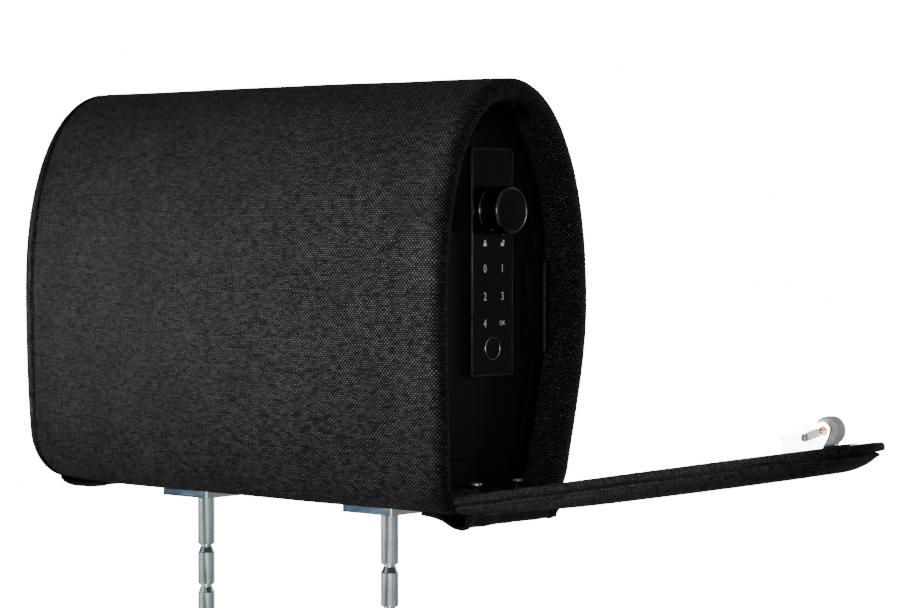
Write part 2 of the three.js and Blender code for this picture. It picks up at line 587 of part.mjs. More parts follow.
// Swing door, hinged on an upright pin at its back edge
const doorGroup = new THREE.Group();
headrest.add(doorGroup);
const doorFrontX = frameX + fit.gap;
const doorBackX = doorFrontX - door.thickness;
const pivotX = frameX + doorHinge.out;
const doorInset = frameFront.rim + fit.run;
const doorLowZ = doorFloorZ + fit.run;
const hingeHalfHeight = doorHinge.knuckles * doorHinge.knuckleHeight / 2;
const hingeLowZ = widestZ - hingeHalfHeight;
const hingeTopZ = widestZ + hingeHalfHeight;
const pivotY = Math.min(crossing(doorInset, 'y', hingeLowZ), crossing(doorInset, 'y', hingeTopZ)) + doorHinge.edge;
const doorTopZ = crossing(doorInset, 'x', body.midY);
const stripLowZ = doorFloorZ + lock.sillRise;
const stripTopZ = doorTopZ - lock.topDrop;
const knobZ = stripTopZ - lock.knobDrop;
const foldX = doorBackX - door.fold;
const spindleHole = rod(at(foldX, body.midY, knobZ), at(doorFrontX + fit.overrun, body.midY, knobZ),
  lock.bush + fit.gap, undefined, samples.round);
const foldDepth = doorInset + door.foldInset;
piece(doorGroup, 'door_panel', 'blackSteel', cut(
  join(
    doorway(doorInset, doorLowZ, doorBackX, doorFrontX),
    cut(doorway(foldDepth, doorLowZ + door.foldInset, foldX, doorBackX + door.thickness / 2),
      doorway(foldDepth + door.foldWall, doorLowZ + door.foldInset + door.foldWall, foldX - fit.overrun, doorBackX)),
  ),
  spindleHole,
));

// Hinge half with every second knuckle: parity 0 takes the first
function hingeHalf(parity, fromY, toY, plateFrontX) {
  const leaf = block(at(plateFrontX - doorHinge.leaf, Math.min(fromY, toY), hingeLowZ),
    at(plateFrontX, Math.max(fromY, toY), hingeTopZ));
  const solids = [leaf];
  const rooms = [];
  for (let i = 0; i < doorHinge.knuckles; i += 1) {
    const low = hingeLowZ + i * doorHinge.knuckleHeight;
    const high = low + doorHinge.knuckleHeight;
    if (i % 2 === parity) {
      solids.push(rod(at(pivotX, pivotY, low), at(pivotX, pivotY, high), doorHinge.radius, undefined, samples.round));
    } else {
      rooms.push(rod(at(pivotX, pivotY, low - fit.gap), at(pivotX, pivotY, high + fit.gap), doorHinge.radius + fit.run));
    }
  }
  const bore = rod(at(pivotX, pivotY, hingeLowZ - fit.overrun), at(pivotX, pivotY, hingeTopZ + fit.overrun),
    doorHinge.pin + fit.gap);
  return cut(join(...solids), ...rooms, bore);
}

const leafFrontX = doorFrontX + fit.gap + doorHinge.leaf;
piece(headrest, 'door_hinge_bracket', 'blackSteel',
  hingeHalf(0, pivotY, pivotY + doorHinge.radius + fit.gap, frameX + fit.gap + doorHinge.leaf));
piece(doorGroup, 'door_hinge_leaf', 'blackSteel', hingeHalf(1, pivotY - doorHinge.leafWidth, pivotY, leafFrontX));
piece(headrest, 'door_hinge_pin', 'blackSteel', rod(at(pivotX, pivotY, hingeLowZ - fit.run),
  at(pivotX, pivotY, hingeTopZ + fit.run), doorHinge.pin));

// Lock strip: bezel, gloss face and fingerprint reader
const stripBackX = doorFrontX + fit.gap;
const stripFrontX = stripBackX + lock.thickness;
const faceBackX = stripFrontX - lock.faceThickness - lock.faceSink;
const lockCentre = [0, body.midY, (stripLowZ + stripTopZ) / 2];
const readerCentre = at(stripFrontX, body.midY, stripLowZ + lock.readerRise);

function lockPlate(margin, fromX, toX) {
  return plateX(roundedShape(lock.width - margin - margin, stripTopZ - stripLowZ - margin - margin, lock.corner), fromX, toX)
    .translate(lockCentre);
}

function knobBar(fromX, toX, radius, endRadius = radius) {
  return rod(at(fromX, body.midY, knobZ), at(toX, body.midY, knobZ), radius, endRadius, samples.round);
}

function readerBar(fromX, toX, radius) {
  return rod(at(fromX, body.midY, readerCentre.z), at(toX, body.midY, readerCentre.z), radius, undefined, samples.round);
}

piece(doorGroup, 'lock_housing', 'satin', cut(
  lockPlate(0, stripBackX, stripFrontX),
  lockPlate(lock.bezel, faceBackX, stripFrontX + fit.overrun),
  knobBar(stripBackX - fit.overrun, stripFrontX, lock.bush + fit.gap),
));
piece(doorGroup, 'keypad_face', 'gloss', cut(
  lockPlate(lock.bezel + fit.gap, faceBackX + fit.gap, stripFrontX - lock.faceSink),
  knobBar(faceBackX - fit.overrun, stripFrontX + fit.overrun, lock.knobRadius - lock.knobBase),
  readerBar(faceBackX - fit.overrun, stripFrontX + fit.overrun, lock.readerRadius + fit.gap),
));
const readerBackX = faceBackX + fit.gap;
piece(doorGroup, 'fingerprint_ring', 'zinc', cut(
  readerBar(readerBackX, stripFrontX + lock.readerProud, lock.readerRadius),
  readerBar(readerBackX - fit.overrun, stripFrontX + fit.overrun, lock.readerRadius - lock.readerRing),
));
piece(doorGroup, 'fingerprint_sensor', 'gloss',
  readerBar(readerBackX, stripFrontX - lock.faceSink, lock.readerRadius - lock.readerRing - fit.gap));

// Spindle bush through the door, clamped by a nut
const bushBackX = doorBackX - lock.nutHeight - fit.run;
piece(doorGroup, 'spindle_bush', 'zinc', cut(
  knobBar(bushBackX, faceBackX, lock.bush),
  knobBar(bushBackX - fit.overrun, stripFrontX + fit.overrun, lock.spindle + fit.gap),
));
piece(doorGroup, 'spindle_nut', 'zinc', cut(
  rod(at(doorBackX - fit.gap - lock.nutHeight, body.midY, knobZ), at(doorBackX - fit.gap, body.midY, knobZ),
    lock.nutRadius, lock.nutRadius, samples.hex),
  knobBar(bushBackX - fit.overrun, doorFrontX, lock.bush + fit.gap),
));

// Electronics behind the door: cover, board, cells and battery cover
const coverFrontX = doorBackX - fit.gap;
const coverBackX = coverFrontX - electronics.depth;
const coverTopZ = knobZ - lock.nutRadius - electronics.knobGap;
const coverLowZ = coverTopZ - electronics.height;
const coverHalf = electronics.width / 2;
const innerX = coverBackX + electronics.wall;
const batteryTopZ = coverLowZ + electronics.wall + electronics.coverHeight;
const batteryHalf = coverHalf - electronics.wall;
piece(doorGroup, 'lock_rear_cover', 'satin', cut(
  plateX(roundedShape(electronics.width, electronics.height, lock.corner), coverBackX, coverFrontX)
    .translate([0, body.midY, (coverLowZ + coverTopZ) / 2]),
  block(at(innerX, body.midY - batteryHalf, coverLowZ + electronics.wall),
    at(coverFrontX + fit.overrun, body.midY + batteryHalf, coverTopZ - electronics.wall)),
  block(at(coverBackX - fit.overrun, body.midY - batteryHalf, coverLowZ + electronics.wall),
    at(innerX + fit.overrun, body.midY + batteryHalf, batteryTopZ)),
));
piece(doorGroup, 'battery_cover', 'satin', block(
  at(coverBackX, body.midY - batteryHalf + fit.gap, coverLowZ + electronics.wall + fit.gap),
  at(coverBackX + electronics.coverThickness, body.midY + batteryHalf - fit.gap, batteryTopZ - fit.gap)));
const boardFrontX = coverFrontX - electronics.boardBack;
piece(doorGroup, 'circuit_board', 'green', block(
  at(boardFrontX - electronics.boardThickness, body.midY - batteryHalf + fit.gap, coverLowZ + electronics.wall + fit.gap),
  at(boardFrontX, body.midY + batteryHalf - fit.gap, coverTopZ - electronics.wall - fit.gap)));
const cellX = coverBackX + electronics.coverThickness + fit.gap + electronics.cellRadius;
const cellLowZ = coverLowZ + electronics.wall + fit.gap;
const cellTopZ = cellLowZ + electronics.cellLength;
const cellYs = Array.from({ length: electronics.cells },
  (_, i) => body.midY + (i - (electronics.cells - 1) / 2) * electronics.cellPitch);
piece(doorGroup, 'battery_pack', 'cell', join(...cellYs.map((y) => rod(
  at(cellX, y, cellLowZ), at(cellX, y, cellTopZ), electronics.cellRadius, undefined, samples.round)),
block(at(cellX - electronics.wrap / 2, cellYs[0], cellLowZ + electronics.wall),
  at(cellX + electronics.wrap / 2, cellYs[cellYs.length - 1], cellTopZ - electronics.wall))));

// Turn knob, its spindle and the cam that swings behind the door frame's stop
const knobGroup = new THREE.Group();
doorGroup.add(knobGroup);
const knobBackX = stripFrontX + fit.gap;
const knobFrontX = knobBackX + lock.knobHeight;
const camFrontX = bushBackX - fit.gap;
const camBackX = camFrontX - lock.camThickness;
piece(knobGroup, 'knob', 'satin', cut(
  join(
    knobBar(knobBackX, knobFrontX - lock.edge, lock.knobRadius),
    knobBar(knobFrontX - lock.edge, knobFrontX, lock.knobRadius, lock.knobRadius - lock.edge),
  ),
  knobBar(knobFrontX - lock.capSink, knobFrontX + fit.overrun, lock.capRadius),
  knobBar(knobBackX - fit.overrun, knobFrontX - lock.capSink - lock.faceThickness, lock.spindle + fit.gap),
  rod(at(knobBackX + lock.knobHeight / 2, body.midY - lock.spindle, knobZ),
    at(knobBackX + lock.knobHeight / 2, body.midY - lock.knobRadius - fit.overrun, knobZ),
    lock.grubRadius + fit.gap),
));
piece(knobGroup, 'knob_cap', 'gloss', knobBar(knobFrontX - lock.capSink + fit.gap, knobFrontX, lock.capRadius - fit.gap));
piece(knobGroup, 'knob_grub_screw', 'zinc', rod(
  at(knobBackX + lock.knobHeight / 2, body.midY - lock.spindle - fit.gap, knobZ),
  at(knobBackX + lock.knobHeight / 2, body.midY - lock.knobRadius + fit.gap, knobZ), lock.grubRadius));
piece(knobGroup, 'knob_spindle', 'zinc', knobBar(
  camBackX - lock.camNutHeight, knobFrontX - lock.capSink - lock.faceThickness - fit.gap, lock.spindle));

function camShape() {
  const wide = lock.camWidth / 2;
  const narrow = lock.camTip / 2;
  const shape = new THREE.Shape();
  shape.absarc(0, 0, wide, Math.PI, 2 * Math.PI);
  shape.lineTo(wide, wide);
  shape.lineTo(narrow, lock.camLength - narrow);
  shape.absarc(0, lock.camLength - narrow, narrow, 0, Math.PI);
  shape.lineTo(-wide, wide);
  return shape;
}

piece(knobGroup, 'lock_cam', 'zinc', cut(
  plateX(camShape(), camBackX, camFrontX).translate([0, body.midY, knobZ]),
  knobBar(camBackX - fit.overrun, camFrontX + fit.overrun, lock.spindle + fit.gap),
));
const camNutX = camBackX - fit.gap;
piece(knobGroup, 'cam_nut', 'zinc', cut(
  rod(at(camNutX - lock.camNutHeight, body.midY, knobZ), at(camNutX, body.midY, knobZ),
    lock.spindle + lock.camNut, lock.spindle + lock.camNut, samples.hex),
  knobBar(camBackX - fit.overrun, camFrontX, lock.spindle + fit.gap),
));

// Flap, drawn shut over the mouth and then turned open about its pin
const flapGroup = new THREE.Group();
flapGroup.position.set(hingeX, 0, hingeZ);
flapGroup.rotation.y = openAngle;
headrest.add(flapGroup);

function flapPiece(name, finish, solid) {
  return piece(flapGroup, name, finish, solid.translate([-hingeX, 0, -hingeZ]));
}

const boardBackX = faceX + flap.board;
const padFrontX = boardBackX + fit.gap;
const padFaceX = boardBackX + flap.pad;
const arms = { low: armYs[0] - flapHinge.armWidth / 2, high: armYs[armYs.length - 1] + flapHinge.armWidth / 2 };
const leafFaceX = padFrontX + flapHinge.leafThickness;
const leafScrewYs = [-1, 1].map((side) => hingeMidY + side * flapHinge.screwSpan / 2);
const leafScrewZ = hingeZ + flapHinge.screwRise;

// Room round the hinge: rounded nose, a notch for each strap and a pocket for the barrels
const noseTool = cut(
  block(at(faceX - fit.overrun, -body.depth, floorZ - fit.overrun), at(hingeX, body.depth + body.midY, hingeZ)),
  rod(at(hingeX, -body.depth, hingeZ), at(hingeX, body.depth + body.midY, hingeZ), flapHinge.depth, undefined,
    samples.round),
);
const notchTools = armYs.map((y) => block(
  at(faceX - fit.overrun, y - flapHinge.armWidth / 2 - fit.run, floorZ - fit.overrun),
  at(faceX + flapHinge.notchDepth, y + flapHinge.armWidth / 2 + fit.run, hingeZ + flapHinge.notchLength)));
const barrelTool = rod(at(hingeX, arms.low - fit.run, hingeZ), at(hingeX, arms.high + fit.run, hingeZ),
  flapHinge.eye + flapHinge.barrelRoom, undefined, samples.round);
const leafTool = block(at(padFrontX - fit.overrun, hingeMidY - flapHinge.leafWidth / 2 - fit.gap, hingeZ),
  at(leafFaceX + fit.gap + flapHinge.screwHeadHeight + fit.gap, hingeMidY + flapHinge.leafWidth / 2 + fit.gap,
    hingeZ + flapHinge.leafLength + fit.gap));
const screwTools = leafScrewYs.map((y) => rod(at(boardBackX - flapHinge.screwDepth - fit.gap, y, leafScrewZ),
  at(leafFaceX + fit.overrun, y, leafScrewZ), flapHinge.screwRadius + fit.gap));

// Places on the catch: along the flap from the axle, and up from the axle
const boardLow = faceX - fit.gap - pinX;
const slotAngle = THREE.MathUtils.degToRad(slot.slopeDegrees);
const slotDir = new THREE.Vector2(Math.cos(slotAngle), Math.sin(slotAngle));

function onCatch([along, up]) {
  return [pinX - up, pinZ + along];
}

function catchRod(along, up, fromY, toY, radius, sides = samples.small) {
  const [x, z] = onCatch([along, up]);
  return rod(at(x, body.midY + fromY, z), at(x, body.midY + toY, z), radius, undefined, sides);
}

function catchBlock(fromAlong, toAlong, fromUp, toUp, half) {
  return block(at(pinX - toUp, body.midY - half, pinZ + fromAlong), at(pinX - fromUp, body.midY + half, pinZ + toAlong));
}

const catchBack = -catchBox.rear[0][0];
const catchFront = catchBox.front[catchBox.front.length - 1][0];
const rivetYs = [-1, 1].map((side) => side * catchBox.rivetOut);

function rivetRod(y, fromUp, toUp, radius) {
  return rod(at(pinX - fromUp, body.midY + y, pinZ - catchBox.rivetBack),
    at(pinX - toUp, body.midY + y, pinZ - catchBox.rivetBack), radius);
}

const boardRoom = [noseTool, barrelTool, ...notchTools];
const boardInside = -boardLow - fit.gap - catchBox.rivetDepth;
flapPiece('flap_board', 'weave', cut(slab([
  ...arcPoints(faceX + flap.roll, flap.roll, flap.roll, 180, 270, samples.bead).map(([x, depth]) => [x, depth, 1]),
  [boardBackX - flap.backEdge, 0, 1],
  [boardBackX, flap.backEdge, 1],
]), ...boardRoom, ...screwTools, ...rivetYs.map((y) => rivetRod(y, boardInside - fit.gap, 0, catchBox.rivet + fit.gap))));

const padInset = flap.padInset;
flapPiece('flap_pad', 'weave', cut(slab([
  [padFrontX, padInset, 1, padTaper.start],
  [padFaceX - flap.rounding, padInset, 1, padTaper.wall],
  [padFaceX - flap.rounding / 2, padInset + flap.rounding / 8, 1, padTaper.edge - padTaper.wall / 2],
  [padFaceX - flap.rounding / 8, padInset + flap.rounding / 2, 1, padTaper.edge],
  [padFaceX, padInset + flap.rounding, 1, padTaper.face],
  [padFaceX + padTaper.crown * crownShares.midRise, padInset + flap.rounding, crownShares.midWidth, padTaper.face],
  [padFaceX + padTaper.crown, padInset + flap.rounding, crownShares.topWidth, padTaper.face],
]), ...boardRoom, leafTool));

const barrels = armYs.slice(1).map((y, i) => {
  const shrink = flapHinge.armWidth / 2 + fit.run;
  return rod(at(hingeX, armYs[i] + shrink, hingeZ), at(hingeX, y - shrink, hingeZ), flapHinge.eye, undefined, samples.round);
});
flapPiece('flap_hinge_leaf', 'blackSteel', cut(
  join(block(at(padFrontX, hingeMidY - flapHinge.leafWidth / 2, hingeZ),
    at(leafFaceX, hingeMidY + flapHinge.leafWidth / 2, hingeZ + flapHinge.leafLength)), ...barrels),
  ...armYs.map((y) => block(
    at(padFrontX - fit.overrun, y - flapHinge.armWidth / 2 - fit.gap, hingeZ - fit.overrun),
    at(leafFaceX + fit.overrun, y + flapHinge.armWidth / 2 + fit.gap, hingeZ + flapHinge.eye + fit.run))),
  rod(at(hingeX, arms.low - fit.overrun, hingeZ), at(hingeX, arms.high + fit.overrun, hingeZ), flapHinge.pin + fit.gap),
  ...screwTools,
));
['front', 'back'].forEach((edge, k) => {
  const headX = leafFaceX + fit.gap;
  flapPiece(`flap_leaf_screw_${edge}`, 'zinc', join(
    rod(at(boardBackX - flapHinge.screwDepth, leafScrewYs[k], leafScrewZ), at(headX + fit.gap, leafScrewYs[k], leafScrewZ),
      flapHinge.screwRadius),
    rod(at(headX, leafScrewYs[k], leafScrewZ), at(headX + flapHinge.screwHeadHeight, leafScrewYs[k], leafScrewZ),
      flapHinge.screwHead)));
});

// Catch: an open folded bracket whose slots guide the sprung roller
function earSolid(side) {
  const shape = new THREE.Shape();
  const outline = catchBox.rear.map(onCatch);
  outline.forEach(([x, z], i) => (i ? shape.lineTo(x, z) : shape.moveTo(x, z)));
  shape.absarc(pinX, pinZ, catchBox.nose, Math.PI, Math.PI / 2, true);
  catchBox.front.map(onCatch).forEach(([x, z]) => shape.lineTo(x, z));
  const ys = [catchBox.halfWidth - catchBox.sheet, catchBox.halfWidth].map((y) => body.midY + side * y).sort((a, b) => a - b);
  return plateY(shape, ys[0], ys[1]);
}

const baseTop = boardLow + catchBox.sheet;
const slotEnd = slotDir.clone().multiplyScalar(-slot.length);
const slotTool = wasm.Manifold.hull([[0, 0], [slotEnd.x, slotEnd.y]].map(([along, up]) => catchRod(
  along, up, -catchBox.halfWidth - fit.overrun, catchBox.halfWidth + fit.overrun, slot.halfWidth)));
flapPiece('catch_bracket', 'bright', cut(
  join(
    cut(catchBlock(-catchBack, catchFront, -boardLow, -boardLow + catchBox.sheet, catchBox.halfWidth),
      catchBlock(-catchBox.windowBack, catchFront + fit.overrun, -boardLow - fit.overrun, 0, catchBox.windowHalf)),
    catchBlock(-catchBack, -catchBack + catchBox.sheet, -boardLow, catchBox.wallTop, catchBox.halfWidth),
    earSolid(-1), earSolid(1),
  ),
  slotTool,
  ...rivetYs.map((y) => rivetRod(y, -boardLow - fit.overrun, 0, catchBox.rivet + fit.gap)),
));
const rivetSeat = -boardLow + catchBox.sheet + fit.gap;
['front', 'back'].forEach((edge, k) => flapPiece(`catch_rivet_${edge}`, 'zinc', join(
  rivetRod(rivetYs[k], boardInside, rivetSeat + fit.gap, catchBox.rivet),
  rivetRod(rivetYs[k], rivetSeat, rivetSeat + catchBox.rivetHeight, catchBox.rivetHead))));
flapPiece('catch_bumper', 'rubber', catchBlock(-bumper.back, bumper.length - bumper.back,
  -boardLow, -boardLow + bumper.thickness, bumper.width / 2));

// Carrier: two cheeks and a web that the spring pushes along the slots
const cheekIn = roller.halfLength + fit.gap;
const cheekOut = cheekIn + carrier.cheek;
const webFront = -roller.radius - carrier.webGap;
const webTurn = slot.slopeDegrees;

function alongSlot(solid) {
  return solid.translate([-pinX, 0, -pinZ]).rotate([0, -webTurn, 0]).translate([pinX, 0, pinZ]);
}

const webSolid = alongSlot(catchBlock(webFront - carrier.web, webFront, -carrier.webHeight / 2, carrier.webHeight / 2,
  cheekOut));
const cheeks = [-1, 1].map((side) => {
  const ys = [cheekIn, cheekOut].map((y) => side * y).sort((a, b) => a - b);
  const bar = alongSlot(catchBlock(webFront - carrier.web, webFront, -carrier.webHeight / 2, carrier.webHeight / 2,
    cheekOut)).intersect(block(at(pinX - body.depth, body.midY + ys[0], -body.height),
    at(pinX + body.depth, body.midY + ys[1], body.height + body.height)));
  return wasm.Manifold.hull([catchRod(0, 0, ys[0], ys[1], carrier.tab), bar]);
});
const axleHole = catchRod(0, 0, -catchBox.halfWidth, catchBox.halfWidth, roller.axle + fit.gap);
flapPiece('roller_carrier', 'roller', cut(join(webSolid, ...cheeks), axleHole));
const axleHalf = catchBox.halfWidth + fit.gap;
flapPiece('roller_axle', 'copper', join(
  catchRod(0, 0, -axleHalf - fit.gap / 2, axleHalf + fit.gap / 2, roller.axle),
  ...[-1, 1].map((side) => {
    const ys = [axleHalf, axleHalf + carrier.axleHeadHeight].map((y) => side * y).sort((a, b) => a - b);
    return catchRod(0, 0, ys[0], ys[1], carrier.axleHead);
  }),
));
flapPiece('catch_roller', 'roller', cut(
  join(
    catchRod(0, 0, roller.tip - roller.halfLength, roller.halfLength - roller.tip, roller.radius, samples.round),
    catchRod(0, 0, -roller.halfLength, roller.halfLength, roller.radius - roller.tip / 2, samples.round),
  ),
  catchRod(0, 0, -roller.halfLength - fit.overrun, roller.halfLength + fit.overrun, roller.axle + fit.gap),
));

function coilSolid(fromAlong, toAlong) {
  const steps = spring.turns * samples.coil;
  const rings = Array.from({ length: steps + 1 }, (_, i) => {
    const turn = 2 * Math.PI * i / samples.coil;
    const along = fromAlong + (toAlong - fromAlong) * i / steps;
    return Array.from({ length: samples.wire }, (__, k) => {
      const wire = 2 * Math.PI * k / samples.wire;
      const radius = spring.radius + spring.wire * Math.cos(wire);
      return at(pinX - radius * Math.cos(turn), body.midY + radius * Math.sin(turn),
        pinZ + along + spring.wire * Math.sin(wire));
    });
  });
  const centre = (list) => list.reduce((sum, p) => sum.add(p), at(0, 0, 0)).divideScalar(list.length);
  return alongSlot(skin([[centre(rings[0])], ...rings, [centre(rings[rings.length - 1])]], false));
}

const springBack = (catchBack - catchBox.sheet - spring.wire - spring.room) / slotDir.x - fit.gap;
flapPiece('catch_spring', 'zinc', coilSolid(-springBack, webFront - carrier.web - fit.gap - spring.wire));

export default headrest;
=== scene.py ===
import json
from bisect import bisect_right
from math import cos, exp, hypot, pi, radians, sin, sqrt

import bmesh
import bpy
from mathutils import Matrix, Vector, noise


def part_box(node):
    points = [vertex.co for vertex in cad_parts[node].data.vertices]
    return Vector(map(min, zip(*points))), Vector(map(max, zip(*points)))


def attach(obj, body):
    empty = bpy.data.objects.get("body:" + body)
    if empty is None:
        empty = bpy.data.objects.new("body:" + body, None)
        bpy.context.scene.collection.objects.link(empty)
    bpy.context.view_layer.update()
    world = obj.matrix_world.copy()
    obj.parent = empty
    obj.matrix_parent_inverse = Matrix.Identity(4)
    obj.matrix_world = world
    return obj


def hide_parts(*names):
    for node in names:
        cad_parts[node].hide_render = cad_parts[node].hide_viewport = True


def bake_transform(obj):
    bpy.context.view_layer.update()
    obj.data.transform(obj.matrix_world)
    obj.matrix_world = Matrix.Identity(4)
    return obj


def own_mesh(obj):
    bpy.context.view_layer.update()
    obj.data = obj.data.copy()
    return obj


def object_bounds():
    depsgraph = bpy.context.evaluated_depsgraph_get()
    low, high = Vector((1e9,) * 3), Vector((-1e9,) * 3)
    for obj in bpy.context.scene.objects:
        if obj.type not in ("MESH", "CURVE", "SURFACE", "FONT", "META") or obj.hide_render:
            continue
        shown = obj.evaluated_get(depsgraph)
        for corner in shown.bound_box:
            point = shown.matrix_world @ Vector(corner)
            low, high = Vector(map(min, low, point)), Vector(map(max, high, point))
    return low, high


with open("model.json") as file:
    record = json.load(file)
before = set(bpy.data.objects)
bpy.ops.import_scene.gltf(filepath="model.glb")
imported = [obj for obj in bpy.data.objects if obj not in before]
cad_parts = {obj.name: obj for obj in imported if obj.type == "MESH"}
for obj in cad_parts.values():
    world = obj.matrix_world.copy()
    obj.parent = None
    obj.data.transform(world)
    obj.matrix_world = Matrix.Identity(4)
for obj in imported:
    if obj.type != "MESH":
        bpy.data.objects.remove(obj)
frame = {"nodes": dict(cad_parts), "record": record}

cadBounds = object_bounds()
cadNodes = frame["nodes"]
mm = 0.001

# outline of the headrest seen from its open end, in millimetres
section = dict(
    height=236.5, depth=125, midY=18.6, floorZ=6.3, widest=110.2, frontCorner=16, backCorner=26, frontFoot=60,
    backFoot=46, lean=12, shoulder=0.62, crown=0.60, frontEase=0.30, frontFootEase=0.34, backEase=0.33,
    points=240, fineSteps=1400)
mouth = dict(x=149.4, leftX=-180, liningDepth=12, clothThick=1.5, recessX=132.1)
closedCorner = dict(radius=30, reach=30)
hinge = dict(x=155.8, z=11.8, depth=5.5, openDegrees=80.5, armYs=(0, 17.5, 35), armRoom=3.5, roomX=(140, 159.6),
             roomTop=9.8, barrel=3.6, barrelHalf=23, barrelY=17.5)


def cubic(a, b, c, d, t):
    s = 1 - t
    return a * s ** 3 + b * 3 * s * s * t + c * 3 * s * t * t + d * t ** 3


def arc(centreY, centreZ, radius, fromDeg, toDeg, t):
    angle = radians(fromDeg + (toDeg - fromDeg) * t)
    return Vector((centreY + radius * cos(angle), centreZ + radius * sin(angle)))


def outlinePoint(t):
    # t from 0 to 7 walks from the crown down the front, along the floor and up the back
    s = section
    half, midY, floorZ = s["depth"] / 2, s["midY"], s["floorZ"]
    topZ, wideZ, footZ = floorZ + s["height"], floorZ + s["widest"], floorZ + s["frontCorner"]
    footY, lean = midY - s["frontFoot"], radians(s["lean"])
    backY, backZ = midY + s["backFoot"] - s["backCorner"], floorZ + s["backCorner"]
    front, back, apex = Vector((midY - half, wideZ)), Vector((midY + half, wideZ)), Vector((midY, topZ))
    backEnd = Vector((backY + s["backCorner"] * cos(lean), backZ - s["backCorner"] * sin(lean)))
    backRise = (wideZ - backEnd.y) * s["backEase"]
    crown, shoulder = Vector((half * s["crown"], 0)), Vector((0, (topZ - wideZ) * s["shoulder"]))
    part = min(int(t), 6)
    u = t - part
    if part == 0:
        return cubic(apex, apex - crown, front + shoulder, front, u)
    if part == 1:
        foot, drop = Vector((footY, footZ)), wideZ - footZ
        leave, arrive = Vector((0, drop * s["frontEase"])), Vector((0, drop * s["frontFootEase"]))
        return cubic(front, front - leave, foot + arrive, foot, u)
    if part == 2:
        return arc(footY + s["frontCorner"], footZ, s["frontCorner"], 180, 270, u)
    if part == 3:
        return Vector((footY + s["frontCorner"], floorZ)).lerp(Vector((backY, floorZ)), u)
    if part == 4:
        return arc(backY, backZ, s["backCorner"], -90, -s["lean"], u)
    if part == 5:
        lift = Vector((backRise * sin(lean), backRise * cos(lean)))
        return cubic(backEnd, backEnd + lift, back - Vector((0, backRise)), back, u)
    return cubic(back, back + shoulder, apex + crown, apex, u)


def evenOutline(count, fineSteps):
    # the outline as evenly spaced points, each with its outward direction and its distance round
    dense = [outlinePoint(7 * i / fineSteps) for i in range(fineSteps + 1)]
    reach = [0.0]
    for a, b in zip(dense, dense[1:]):
        reach.append(reach[-1] + (b - a).length)
    points, k = [], 0
    for i in range(count):
        want = reach[-1] * i / count
        while reach[k + 1] < want:
            k += 1
        share = (want - reach[k]) / max(reach[k + 1] - reach[k], 1e-9)
        points.append(dense[k].lerp(dense[k + 1], share))
    spots = []
    for i in range(count):
        along = points[(i + 1) % count] - points[i - 1]
        spots.append((points[i], Vector((along.y, -along.x)).normalized(), reach[-1] * i / count))
    return spots, reach[-1]


outline, outlineLength = evenOutline(section["points"], section["fineSteps"])
middle = Vector((section["midY"], section["floorZ"] + section["widest"]))


def cornerShift(v, depth):
    # the closed end's lower front corner is rounder than the mouth's
    own = section["frontCorner"]
    radius = own + (closedCorner["radius"] - own) * min(1, exp(-(v.x - mouth["leftX"]) / closedCorner["reach"]))
    away = Vector((v.y - section["midY"] + section["frontFoot"] - radius, v.z - section["floorZ"] - radius))
    if away.x >= 0 or away.y >= 0 or away.length <= radius - depth:
        return Vector((0, 0, 0))
    shift = away * ((radius - depth) / away.length - 1)
    return Vector((0, shift.x, shift.y))


def ringAt(x, depth, share=1.0, drawIn=0.0, lump=None, rounded=False):
    ring = []
    for spot, out, _ in outline:
        p = middle + (spot - out * depth - middle) * share
        v = Vector((x, p.x, p.y - drawIn * (p.y - section["floorZ"]) / section["height"]))
        if rounded:
            v += cornerShift(v, depth)
        if lump:
            v += lump(v, out)
        ring.append(v)
    return ring


# meshes
def linked(name, data):
    obj = bpy.data.objects.new(name, data)
    bpy.context.scene.collection.objects.link(obj)
    return obj


def meshObject(name, bm, smoothDegrees=40):
    mesh = bpy.data.meshes.new(name)
    bmesh.ops.recalc_face_normals(bm, faces=bm.faces)
    bm.to_mesh(mesh)
    bm.free()
    for polygon in mesh.polygons:
        polygon.use_smooth = True
    if smoothDegrees:
        sharpenEdges(mesh, smoothDegrees)
    return linked(name, mesh)


def sharpenEdges(mesh, degrees):
    bm = bmesh.new()
    bm.from_mesh(mesh)
    for edge in bm.edges:
        edge.smooth = len(edge.link_faces) == 2 and edge.calc_face_angle(0) < radians(degrees)
    bm.to_mesh(mesh)
    bm.free()


def skinRings(name, rings, cloth, roundTrip=False, smoothDegrees=40):
    # rings of equal count, or of one point at an end; cloth gives each ring's place on the cloth in millimetres
    bm = bmesh.new()
    clothLayer = bm.loops.layers.uv.new("clothMap")
    rows = [[bm.verts.new(v * mm) for v in ring] for ring in rings]
    for i in range(len(rows) if roundTrip else len(rows) - 1):
        n = (i + 1) % len(rows)
        for j in range(len(outline)):
            corners = {}
            for row, column in ((i, j), (i, j + 1), (n, j + 1), (n, j)):
                vert = rows[row][column % len(rows[row])]
                corners.setdefault(vert, cloth[row][column % len(cloth[row])])
            if len(corners) > 2:
                face = bm.faces.new(list(corners))
                for loop, spot in zip(face.loops, corners.values()):
                    loop[clothLayer].uv = (spot[0] * mm, spot[1] * mm)
    return meshObject(name, bm, smoothDegrees)


def sleeveCloth(profile):
    # cloth places on a sleeve: along the profile, and round the outline
    rows, run = [], 0
    for i, (x, depth) in enumerate(profile):
        if i:
            run += hypot(x - profile[i - 1][0], depth - profile[i - 1][1])
        rows.append([(run, out[2]) for out in outline] + [(run, outlineLength)])
    return rows


def slabCloth(profile, first):
    # cloth places on a slab: flat on its faces, and carried on over its edge
    rows, run = [], 0
    for i, (x, depth, share, drawIn) in enumerate(profile):
        if i and share >= 1 and profile[i - 1][2] >= 1:
            run += hypot(x - profile[i - 1][0], depth - profile[i - 1][1])
        spots = [middle + (spot - middle) * share + out * run for spot, out, _ in outline]
        rows.append([(p.x + first, p.y) for p in spots])
    return rows


